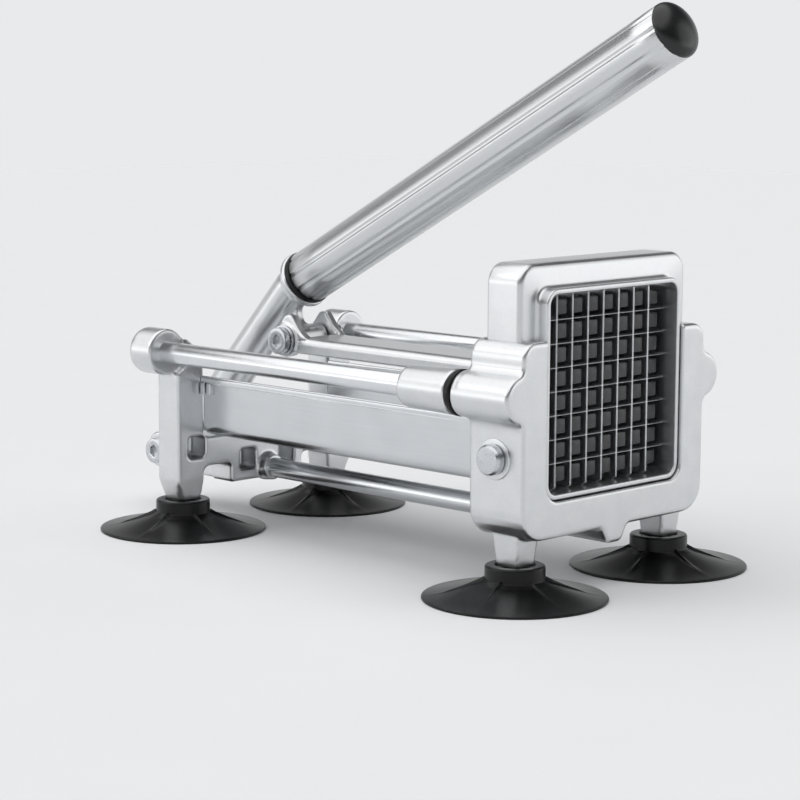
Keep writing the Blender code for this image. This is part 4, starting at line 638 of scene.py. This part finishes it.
def pusher_block():
    """Sixty-four fingers on a plate. A finger is a rounded square carried along, with its tip
    drawn in; all the fingers are one array of points, shifted by the cells' places. Points past
    a circle round each corner of the grid are pulled back to it, as the corner fingers are cut."""
    # Depth, half width and corner radius of each row of a finger, from its tip to the plate
    tip = ((1.8, 2.8, 0.5), (1.95, 3.05, 0.6), (5.6, 4.05, 0.8), (6.4, 4.1, 0.8))
    depth, half, corner = np.array((*tip, (21.5, 4.15, 0.8))).T
    curve = 0.4
    square = rectangle(-1, 1, -1, 1, curve, 4)
    unit_corner = np.sign(square)
    shape = (square - unit_corner * (1 - curve)) / curve
    centre = unit_corner * (half - corner)[:, None, None]
    ring = centre + shape * corner[:, None, None]
    deep = np.broadcast_to(depth[:, None], ring.shape[:2])
    finger = np.stack((ring[..., 0], deep, ring[..., 1]), axis=-1)
    cells = np.meshgrid(CELL_PLACES, (0.0,), CELL_PLACES, indexing="ij")
    points = finger[None] + np.stack(cells, axis=-1).reshape(-1, 1, 1, 3)
    middle, radius = 32.5, 6.6
    over = np.abs(points[..., (0, 2)]) - middle
    reach = np.linalg.norm(over, axis=-1)
    outside = (over.min(axis=-1) > 0) & (reach > radius)
    over *= np.where(outside, radius / reach, 1.0)[..., None]
    points[..., (0, 2)] = np.sign(points[..., (0, 2)]) * (middle + over)
    each = sheet_faces(*finger.shape[:2])
    count = finger.shape[0] * finger.shape[1]
    faces = [[index + k * count for index in face] for k in range(CELLS**2) for face in each]
    obj = make("pusher_fingers", points, faces, sharp=40)
    fit(obj, "carriage", MOULDED_NYLON, "black_plastic", "pusher_block")
    half = 39.4
    outline = rectangle(-half, half, -half, half, radius=4.6)
    plate = slab("pusher_plate", outline, "XZ", 20.8, 27.0, edge=0.5)
    fit(plate, "carriage", MOULDED_NYLON, "black_plastic")


def carriage():
    """The casting behind the pusher: plate, arms, sleeves and tongue, with the bores cut."""
    half, front, back = 37.0, 27.3, 32.3
    plate = rectangle(-half, half, -half, half, radius=7.0)
    forms = [slab("carriage_casting", plate, "XZ", front, back, edge=1.0)]
    cuts = []
    arm_root, knee, arm_back = 31.0, 46.5, 52.8
    arm = [(arm_root, 28.8, 0), (knee, 28.8, 0), (knee, 29.3, 0), (ROD_HALF, 29.3, 0)]
    arm += [(ROD_HALF, arm_back, 0), (knee, arm_back, 7.0), (arm_root, 30.8, 0)]
    sleeve = rounded([(0, 0), (9.8, 0, 0.8), (9.0, 27.8, 0.8), (0, 27.8)], 3)
    for side in (-1, 1):
        outline = rounded([(side * x, y, radius) for x, y, radius in arm])
        forms.append(slab("arm", outline, "XY", -5.5, 5.5))
        forms.append(turned("sleeve", sleeve, (side * ROD_HALF, SLEEVE_FRONT, 0), (0, 1, 0)))
        cuts.append(along_y(side * ROD_HALF, 0, 25.0, 61.0, 7.0))
    y, z = LINK_FRONT[1:]
    root, eye = 30.8, 8.5
    tongue = [(root, z - 17, 0), (y - eye, z - 17, 4.2), (y + eye, z - eye, 4.2)]
    tongue += [(y + eye, z + eye, eye), (root, z + eye, 0)]
    forms.append(slab("tongue", rounded(tongue), "YZ", -8.7, 8.7))
    for x in (-SCREW_HALF, SCREW_HALF):
        for height in (-SCREW_HALF, SCREW_HALF):
            cuts.append(along_y(x, height, 26.0, 34.0, 2.2, edge=0.1))
    obj = cast("carriage_casting", forms, cuts, cell=0.6)
    fit(obj, "carriage", CAST_ALUMINIUM, "cast_aluminium", "carriage")
    for word, side in (("left", -1), ("right", 1)):
        ring = rounded([(5.2, 27.7, 0.2), (6.9, 27.7, 0.2), (6.9, 0.1, 0.2), (5.2, 0.1, 0.2)], 2)
        place = (side * ROD_HALF, SLEEVE_FRONT, 0)
        bush = turned(f"nylon_bush_{word}", ring, place, (0, 1, 0), 48, ring=True)
        fit(bush, "carriage", PALE_NYLON, "nylon", f"bushing_{word}")


# Rear frame, tray and rods


def rear_frame():
    """The rear casting: its outline carried from front to back, with bosses and pivot lugs."""
    post_inner, post_outer, post_bottom = 40.5, 56.5, -62.4
    arch, arch_half, bottom = -55.9, 23.1, -65.6
    half = [
        (post_inner, -41.4, 3.0),
        (post_inner, -1.3, 5.0),
        (53.2, 7.9, 1.5),
        (post_outer, 5.6, 1.5),
        (post_outer, post_bottom, 1.6),
        (post_inner, post_bottom, 1.6),
        (post_inner, arch, 4.0),
        (arch_half, arch, 2.5),
        (arch_half, bottom, 1.5),
    ]
    outline = half + [(-x, z, radius) for x, z, radius in half[::-1]]
    forms = [slab("rear_casting", rounded(outline), "XZ", REAR_FRONT, REAR_BACK, edge=1.3)]
    boss = [(0, 0), (10.8, 0, 0.8), (10.8, 16.0, 3.0), (0, 16.0)]
    forms.append(bar((0, 212.0, TIE_ROD), (0, 204.3, TIE_ROD), 6.9, 6.1))
    foot = {"inner": (6.0, 7.0, 6.9), "outer": (6.6, 9.0, 8.9), "deep": (6.3, 7.5, 7.4)}
    root, top, eye = 218.3, -45.0, 8.5
    y, z = PIVOT[1:]
    cheek = [(root, z - eye, 0), (y + eye, z - eye, eye), (y + eye, z + eye, eye)]
    cheek += [(root + 20.0, top, eye), (root, top, 0)]
    # Each pocket's middle across and up, half width, half height and corner radius
    pockets = ((44.9, -46.2, 5.5, 5.3, 2.6), (12.5, -55.4, 5.1, 5.2, 1.6))
    cuts = []
    for side in (-1, 1):
        forms.append(turned("boss", rounded(boss, 8), (side * ROD_HALF, 213.3, 0), (0, 1, 0)))
        forms.append(foot_boss(side * FOOT_HALF, REAR_FOOT, **foot, wide=11.6))
        cuts.append(along_y(side * ROD_HALF, 0, 207.0, 213.2, 10.7, edge=0.1))
        inner, outer = sorted((side * 12.0, side * 18.0))
        forms.append(slab("cheek", rounded(cheek), "YZ", inner, outer))
        cuts.append(along_y(side * ROD_HALF, 0, 225.0, 231.0, SCREW_HOLE, edge=0.1))
        for x, height, wide, high, corner in pockets:
            x *= side
            pocket = rectangle(x - wide, x + wide, height - high, height + high, corner)
            cuts.append(slab("pocket", pocket, "XZ", REAR_FRONT - 1.0, REAR_BACK - 4.0))
    cuts.append(along_y(0, TIE_ROD, 220.0, 226.0, SCREW_HOLE, edge=0.1))
    obj = cast("rear_casting", forms, cuts, cell=0.65)
    fit(obj, "base", CAST_ALUMINIUM, "cast_aluminium", "rear_frame")


def band(path, thickness):
    """The outline of a bent strip: its middle line moved half the thickness to each side."""
    step = np.gradient(np.asarray(path, float), axis=0)
    across = np.stack((-step[:, 1], step[:, 0]), axis=1)
    across /= np.linalg.norm(across, axis=1, keepdims=True)
    return np.concatenate((path + across * thickness / 2, (path - across * thickness / 2)[::-1]))


def tray():
    """The bent sheet: one middle line, hem, wall, corner and floor, carried from front to back."""
    half, top, floor, sheet = 40.6, -12.6, -40.2, 0.8
    hem_radius, corner_radius = 0.75, 5.0
    hem = arc((half + hem_radius, top - hem_radius), hem_radius, 0, math.pi, 8)
    wall = np.array([(half, z) for z in np.linspace(top - 1.5, floor + 5.6, 10)])
    centre = (half - corner_radius, floor + corner_radius)
    corner = arc(centre, corner_radius, 0, -RIGHT_ANGLE, 8)
    right = np.concatenate(([(half + 1.5, top - 2.9), (half + 1.5, top - 1.8)], hem, wall, corner))
    path = np.concatenate((right, (right * (-1, 1))[::-1]))
    obj = slab("tray_sheet", band(path, sheet), "XZ", 22.3, 209.0)
    forms = []
    for side in (-1, 1):
        for low, high in ((201.7, 204.5), (205.9, 208.7)):
            inner, outer = sorted((side * 40.9, side * 43.4))
            forms.append(block((inner, low, -20.8), (outer, high, -15.3), edge=0.4))
    combine(obj, forms, "UNION")
    obj.data.shade_smooth()
    obj.data.set_sharp_from_angle(angle=math.radians(30))
    fit(obj, "base", TRAY_STEEL, "polished_steel", "tray")


def rods():
    """The guide rods, each with its rubber ring, and the tie rod."""
    for word, side in (("left", -1), ("right", 1)):
        x = side * ROD_HALF
        rod = along_y(x, 0, 21.0, 220.2, 5.0)
        rod.name = f"ground_rod_{word}"
        fit(rod, "base", CHROMED_STEEL, "polished_steel", f"guide_rod_{word}")
        ring = rounded([(5.3, 3.0, 0.2), (9.9, 3.0, 0.9), (9.9, 0, 0.9), (5.3, 0, 0.2)], 4)
        obj = turned(f"bumper_{word}", ring, (x, 24.5, 0), (0, 1, 0), 64, ring=True)
        fit(obj, "base", MOULDED_RUBBER, "black_rubber", f"bumper_ring_{word}")
    rod = along_y(0, TIE_ROD, 21.0, 211.0, 4.75)
    rod.name = "ground_tie_rod"
    fit(rod, "base", CHROMED_STEEL, "polished_steel", "tie_rod")


def hexagon(angles):
    """A hexagon's radius over its corners' radius: apothem / cos(angle to the nearest flat)."""
    sixth = math.pi / 3
    return math.cos(sixth / 2) / np.cos((angles + sixth / 2) % sixth - sixth / 2)


def socket_screw(name, seat, axis, head, height, shank, length):
    """A turned screw whose socket has a hexagon's radius at each angle."""
    sides = 72
    socket = head * 0.5
    profile = [
        (0, -length, 0),
        (shank, -length, 0),
        (shank, 0, 0),
        (head - 0.15, 0, 0),
        (head, 0.15, 0),
        (head, height - 0.5, 0),
        (head - 0.15, height - 0.15, 0),
        (head - 0.5, height, 0),
        (socket * 1.2, height, 0),
        (socket, height - 0.2, 1),
        (socket, height * 0.45, 1),
        (0, height * 0.3, 0),
    ]
    radius, level, hexed = np.array(profile, float).T
    angles = np.linspace(0, TURN, sides, endpoint=False)[:, None]
    radius = np.where(hexed > 0, radius * hexagon(angles), radius)
    first, second = axes_across(axis)
    across = np.cos(angles)[..., None] * first + np.sin(angles)[..., None] * second
    points = np.asarray(seat) + level[None, :, None] * unit(axis) + radius[..., None] * across
    open_ring = {"close_around": False, "caps": False}
    return make(name, points, sheet_faces(sides, len(level), close_rows=True, **open_ring))


def hexagon_nut(name, place, bore, radius, height):
    """A nut along X: its radius is the less of a hexagon's and that of a chamfer's cone."""
    sides = 96
    face, chamfer = radius * 0.88, 0.9
    profile = [(bore, 0, 0), (face, 0, 1), (radius, chamfer, 1), (radius, height - chamfer, 1)]
    profile += [(face, height, 1), (bore, height, 0)]
    limit, level, hexed = np.array(profile, float).T
    angles = np.linspace(0, TURN, sides, endpoint=False)[:, None]
    size = np.where(hexed > 0, np.minimum(limit, radius * hexagon(angles)), limit)
    points = np.stack((level + 0 * size, size * np.cos(angles), size * np.sin(angles)), axis=-1)
    points += np.asarray(place)
    return make(name, points, sheet_faces(sides, len(level), close_rows=True, caps=False))


def fasteners():
    """Every screw, bolt, nut and washer that shows."""
    back, near = (0, 1, 0), (-1, 0, 0)
    # Head radius, head height and shank radius of the small screws
    small = (3.8, 4.0, 2.0)
    pieces = []
    for word, x in (("left", -ROD_HALF), ("right", ROD_HALF)):
        screw = socket_screw(f"rod_end_screw_{word}", (x, 225.3, 0), back, *small, 20.7)
        pieces.append((screw, "base", f"guide_rod_screw_{word}"))
        for row, z in (("lower", -SCREW_HALF), ("upper", SCREW_HALF)):
            place = (math.copysign(SCREW_HALF, x), 32.6, z)
            screw = socket_screw(f"block_screw_{row}_{word}", place, back, *small, 13.0)
            pieces.append((screw, "carriage", f"pusher_screw_{row}_{word}"))
    screw = socket_screw("tie_end_screw", (0, 220.3, TIE_ROD), back, *small, 24.7)
    pieces.append((screw, "base", "tie_rod_screw"))
    for name, node, body, at, seat, shank, length in (
        ("lever_pivot_bolt", "lever_bolt", "base", PIVOT, 18.3, 4.0, 41.1),
        ("link_pivot_bolt", "link_bolt", "link", LINK_REAR, 15.8, 4.0, 34.6),
        ("front_pivot_bolt", "front_pivot_screw", "link", LINK_FRONT, 14.3, 3.5, 4.7),
    ):
        bolt = socket_screw(name, (-seat, *at[1:]), near, 6.2, 3.4, shank, length)
        pieces.append((bolt, body, node))
    for name, node, body, at, start, bore in (
        ("lever_pivot_nut", "lever_nut", "base", PIVOT, 18.3, 4.3),
        ("link_pivot_nut", "link_nut", "link", LINK_REAR, 14.3, 4.3),
        ("front_nut", "front_pivot_nut", "link", LINK_FRONT, 14.3, 3.8),
    ):
        pieces.append((hexagon_nut(name, (start, *at[1:]), bore, 6.9, 4.5), body, node))
    ring = rounded([(4.3, 1.2, 0.1), (7.2, 1.2, 0.25), (7.2, 0, 0.25), (4.3, 0, 0.1)], 3)
    washer = turned("flat_washer", ring, (-15.5, *LINK_REAR[1:]), (1, 0, 0), 72, ring=True)
    pieces.append((washer, "link", "link_washer"))
    for obj, body, node in pieces:
        fit(obj, body, ZINC_STEEL, "satin_steel", node)


# Feet


def suction_cup(name, x, y):
    """A turned cup with six low ribs: the height over the cone is a bell curve of the distance
    to the nearest rib's line, and fades out towards the lip."""
    profile = rounded(
        [
            (3.0, 8.0),
            (3.0, 13.4),
            (8.3, 13.4, 0.4),
            (8.6, 14.5, 0.5),
            (12.7, 14.5, 1.0),
            (12.7, 8.4, 0.6),
            (15.6, 7.0, 2.0),
            (21.4, 5.0),
            (30.2, 2.5),
            (37.0, 1.35),
            (39.0, 1.1, 0.4),
            (39.0, 0.0, 0.3),
            (36.8, 0.0),
            (30.2, 0.9),
            (12.7, 5.4),
            (0.0, 5.4),
            (0.0, 8.0),
        ],
        5,
    )
    radius, height = profile.T
    sides = 144
    angles = np.linspace(0, TURN, sides, endpoint=False)[:, None]
    ribs, rib_high, rib_wide, rib_end, fade = 6, 1.3, 0.55, 31.0, 18.0
    rib = np.abs((angles * ribs / TURN + 0.25) % 1 - 0.5) * TURN / ribs * radius[None]
    outside = (np.arange(len(radius)) < np.argmax(radius)) & (radius > 12.8)
    lift = np.where(outside, np.clip((rib_end - radius) / fade, 0, 1) * rib_high, 0)
    level = height[None] + lift[None] * np.exp(-((rib / rib_wide) ** 2))
    ring = (x + radius * np.cos(angles), y + radius * np.sin(angles), FLOOR + level)
    faces = sheet_faces(sides, len(radius), close_rows=True, caps=False)
    obj = make(f"rubber_cup_{name}", np.stack(ring, axis=-1), faces)
    fit(obj, "base", MOULDED_RUBBER, "black_rubber", f"suction_cup_{name}")


# Lever, handle and link


def lever():
    """The cast lever: arm, eye, lug and collar joined, then relaxed."""
    stub, arm, eye, lug_eye, lug_foot = 11.0, 9.2, 10.5, 6.5, 17.0
    bend = COLLAR - HANDLE_AXIS * stub
    along = unit(bend - PIVOT)
    across = np.array((0, along[2], -along[1]))
    forms = [bar(PIVOT + along * 17.0, bend, arm, edge=0.1)]
    forms.append(along_x(*PIVOT[1:], -11.7, 11.7, eye))
    corners = [PIVOT - across * eye, PIVOT + across * eye]
    corners += [PIVOT + across * 5.1 + along * 34.0, PIVOT - across * 5.1 + along * 34.0]
    forms.append(slab("neck", np.array(corners)[:, 1:], "YZ", -7.0, 7.0))
    foot = PIVOT + along * ((LINK_REAR - PIVOT) @ along)
    outline = [LINK_REAR - along * lug_eye, foot - along * lug_foot]
    outline += [foot + along * lug_foot, LINK_REAR + along * lug_eye]
    lug = slab("lug", np.array(outline)[:, 1:], "YZ", -2.2, 2.2)
    combine(lug, [along_x(LINK_REAR[1] - 1.7, LINK_REAR[2] + 11.9, -4.0, 4.0, 6.0)], "DIFFERENCE")
    forms.append(lug)
    forms.append(along_x(*LINK_REAR[1:], -8.5, 8.5, lug_eye))
    ball = np.linspace(0.02, math.pi - 0.02, 25)
    knuckle = np.stack((arm * np.sin(ball), -arm * np.cos(ball)), axis=1)
    knuckle = np.concatenate(([(0, -arm)], knuckle, [(0, arm)]))
    forms.append(turned("knuckle", knuckle, bend, HANDLE_AXIS))
    flange, face = 13.4, -1.5
    collar = [(0, -stub), (8.9, -stub), (9.9, -6.0, 2.5), (flange, -4.4, 0.7)]
    collar += [(flange, face, 0.6), (0, face)]
    forms.append(turned("collar", rounded(collar, 5), COLLAR, HANDLE_AXIS))
    cuts = [along_x(*PIVOT[1:], -14.0, 14.0, 4.3), along_x(*LINK_REAR[1:], -12.0, 12.0, 4.3)]
    obj = cast("lever_arm", forms, cuts, cell=0.6)
    fit(obj, "lever", CAST_ALUMINIUM, "cast_aluminium", "lever_casting")


def handle():
    """The drawn tube: its radius less ten shallow grooves, carried along the handle's axis. A
    groove's depth falls off as (1 - (distance to its line / its half width)^2)^1.5."""
    start = COLLAR + HANDLE_AXIS * 1.5
    sides, length, bore, bevel = 360, 242.0, 10.5, 0.4
    grooves, groove_deep, groove_half = 10, 0.45, 1.4
    angles = np.linspace(0, TURN, sides, endpoint=False)[:, None]
    across = np.abs((angles - math.radians(32)) * grooves / TURN % 1)
    offset = np.minimum(across, 1 - across) * TURN / grooves * TUBE_RADIUS
    groove = groove_deep * np.clip(1 - (offset / groove_half) ** 2, 0, 1) ** 1.5
    rows = [(TUBE_RADIUS - bevel, 0.0, 1), (TUBE_RADIUS, bevel, 1)]
    rows += [(TUBE_RADIUS, height, 1) for height in np.linspace(20, 228, 12)]
    rows += [(TUBE_RADIUS, length - bevel, 1), (TUBE_RADIUS - bevel, length, 1)]
    rows += [(bore, length, 0), (bore, 0, 0)]
    base, level, fluted = np.array(rows).T
    radius = base[None] - groove * fluted[None]
    first, second = np.array((1.0, 0, 0)), np.cross(HANDLE_AXIS, (1.0, 0, 0))
    ring = np.cos(angles)[..., None] * first + np.sin(angles)[..., None] * second
    points = start + level[None, :, None] * HANDLE_AXIS + radius[..., None] * ring
    faces = sheet_faces(sides, len(level), close_rows=True, caps=False)
    obj = make("fluted_tube", points, faces, sharp=60)
    fit(obj, "lever", DRAWN_ALUMINIUM, "drawn_aluminium", "handle_tube")
    seal = rounded([(bore, 1.2, 0.2), (12.9, 1.2, 0.7), (12.9, -1.2, 0.7), (bore, -1.2, 0.2)], 4)
    obj = turned("gasket_ring", seal, COLLAR, HANDLE_AXIS, 72, ring=True)
    fit(obj, "lever", MOULDED_RUBBER, "black_rubber", "handle_gasket")
    dome = arc((0, 0), 1.0, 0, RIGHT_ANGLE, 20) * (TUBE_RADIUS, 6.0) + (0, 0.3)
    dome[-1, 0] = 0
    cap = np.concatenate(([(0, -12.0), (10.2, -12.0), (10.2, 0.3)], dome))
    obj = turned("domed_cap", cap, start + HANDLE_AXIS * length, HANDLE_AXIS, 96)
    fit(obj, "lever", SOFT_PVC, "black_plastic", "handle_cap")


def link():
    """The forked channel: a section carried along, with an eye at each prong's end."""
    rear, front = LINK_REAR, LINK_FRONT
    top, half = rear[2] + 1.8, 13.5
    skirt = [(-half, top - 7.5, 0.5), (half, top - 7.5, 0.5)]
    section = rounded(skirt + [(half, top, 3.2), (-half, top, 3.2)])
    forms = [slab("link_casting", section, "XZ", front[1], rear[1])]
    for at in (rear, front):
        for side in (-1, 1):
            forms.append(along_x(*at[1:], side * 8.7, side * 14.0, 8.0))
    low, web, high = top - 16.0, top - 3.5, top + 8.5
    y0, y1 = front[1] - 9.0, rear[1] + 9.0
    between = [(y0, low), (y1, low), (y1, high), (rear[1] - 9.8, high), (rear[1] - 9.8, web)]
    between += [(front[1] + 16.0, web), (front[1] + 16.0, high), (y0, high)]
    cuts = [slab("channel", np.array(between, float), "YZ", -9.0, 9.0)]
    ear = [(-14.0, 1.4, 0), (-9.4, 4.6, 3.0), (-3.3, 12.2, 2.0)]
    ear += [(0.6, 11.9, 2.0), (5.5, 5.8, 1.5), (0, 0, 0)]
    for side in (-1, 1):
        low, high = sorted((side * 9.1, side * 13.4))
        forms.append(slab("ear", rounded(ear) + rear[1:], "YZ", low, high, 0.5, 3))
    cuts += [along_x(*at[1:], -15.0, 15.0, 4.2) for at in (rear, front)]
    obj = cast("link_casting", forms, cuts, cell=0.5)
    fit(obj, "link", CAST_ALUMINIUM, "cast_aluminium", "connecting_link")


front_frame()
cassette_frame()
blades()
lock_knob()
pusher_block()
carriage()
rear_frame()
tray()
rods()
for end, foot_place in (("front", FRONT_FOOT), ("rear", REAR_FOOT)):
    for hand, hand_side in (("left", -1), ("right", 1)):
        suction_cup(f"{end}_{hand}", hand_side * FOOT_HALF, foot_place)
lever()
handle()
link()
fasteners()


# Floor, light and camera


def pale_floor():
    """A flat square of 6 m under the cups."""
    half = 3000.0
    corners = ((-half, -half), (half, -half), (half, half), (-half, half))
    floor = make("floor", [(x, y, FLOOR) for x, y in corners], [[0, 1, 2, 3]])
    # Painted board: matt and almost white, with a fine tooth, so only soft shadows show on it
    board = finish_of(
        "matt_white_board",
        dark="#ECEDEE",
        pale="#F1F2F3",
        rough=(0.7, 0.85),
        metallic=0.0,
        grains=(((1.5,) * 3, 0.5), ((60.0,) * 3, 0.5)),
        bump=0.01,
    )
    dress(floor, board)


def broad_light(name, source, strength, width):
    """A very large, far lamp: where it is seen from the object, its strength and how many
    degrees of the sky it fills, which is what makes its shadows soft."""
    light = bpy.data.lights.new(name, "SUN")
    light.energy = strength
    light.angle = math.radians(width)
    obj = bpy.data.objects.new(name, light)
    bpy.context.scene.collection.objects.link(obj)
    axis = unit(np.array(source, float))
    first, second = axes_across(axis)
    obj.rotation_euler = Matrix(np.stack((first, second, axis), axis=1)).to_euler()


pale_floor()
broad_light("overhead", (-0.25, 0.1, 1.0), strength=2.5, width=100)
broad_light("right_panel", (0.77, -0.63, 0.22), strength=0.5, width=50)
broad_light("left_panel", (-0.77, 0.63, 0.22), strength=0.6, width=50)

# The studio: a low pale wall all round, higher behind the object, and a dark room over the camera
world = bpy.data.worlds.new("studio")
bpy.context.scene.world = world
world.use_nodes = True
sky = world.node_tree
direction = add(sky, "TexCoord").outputs["Generated"]
height = add(sky, "SeparateXYZ", {0: direction}).outputs["Z"]
backwards = {0: direction, 1: (0.77, 0.63, 0.0)}
behind = add(sky, "VectorMath", backwards, operation="DOT_PRODUCT").outputs["Value"]
# Each share is none at the first value and full at the second
wall, low, low_wall = (
    add(sky, "MapRange", {"Value": value, "From Min": none, "From Max": full}).outputs[0]
    for value, none, full in ((behind, 0.2, 0.8), (height, 0.5, 0.22), (height, 0.2, 0.1))
)
high_wall = add(sky, "Math", {0: wall, 1: low}, operation="MULTIPLY").outputs[0]
share = add(sky, "Math", {0: high_wall, 1: low_wall}, operation="MAXIMUM").outputs[0]
sky.links.new(blend(sky, share, "#4A4B4D", "#E9EAEB"), sky.nodes["Background"].inputs["Color"])

# The camera that was solved from the reference
lens = bpy.data.cameras.new("camera")
lens.lens = 110.505
lens.sensor_width = 36.0
lens.clip_start = 0.05
camera = bpy.data.objects.new("camera", lens)
bpy.context.scene.collection.objects.link(camera)
camera.location = np.array((-794.667, -656.989, 140.589)) * MM + ORIGIN
camera.rotation_euler = [math.radians(angle) for angle in (81.8428, -0.271, -45.6123)]
bpy.context.scene.camera = camera
bpy.context.scene.view_settings.view_transform = "Standard"
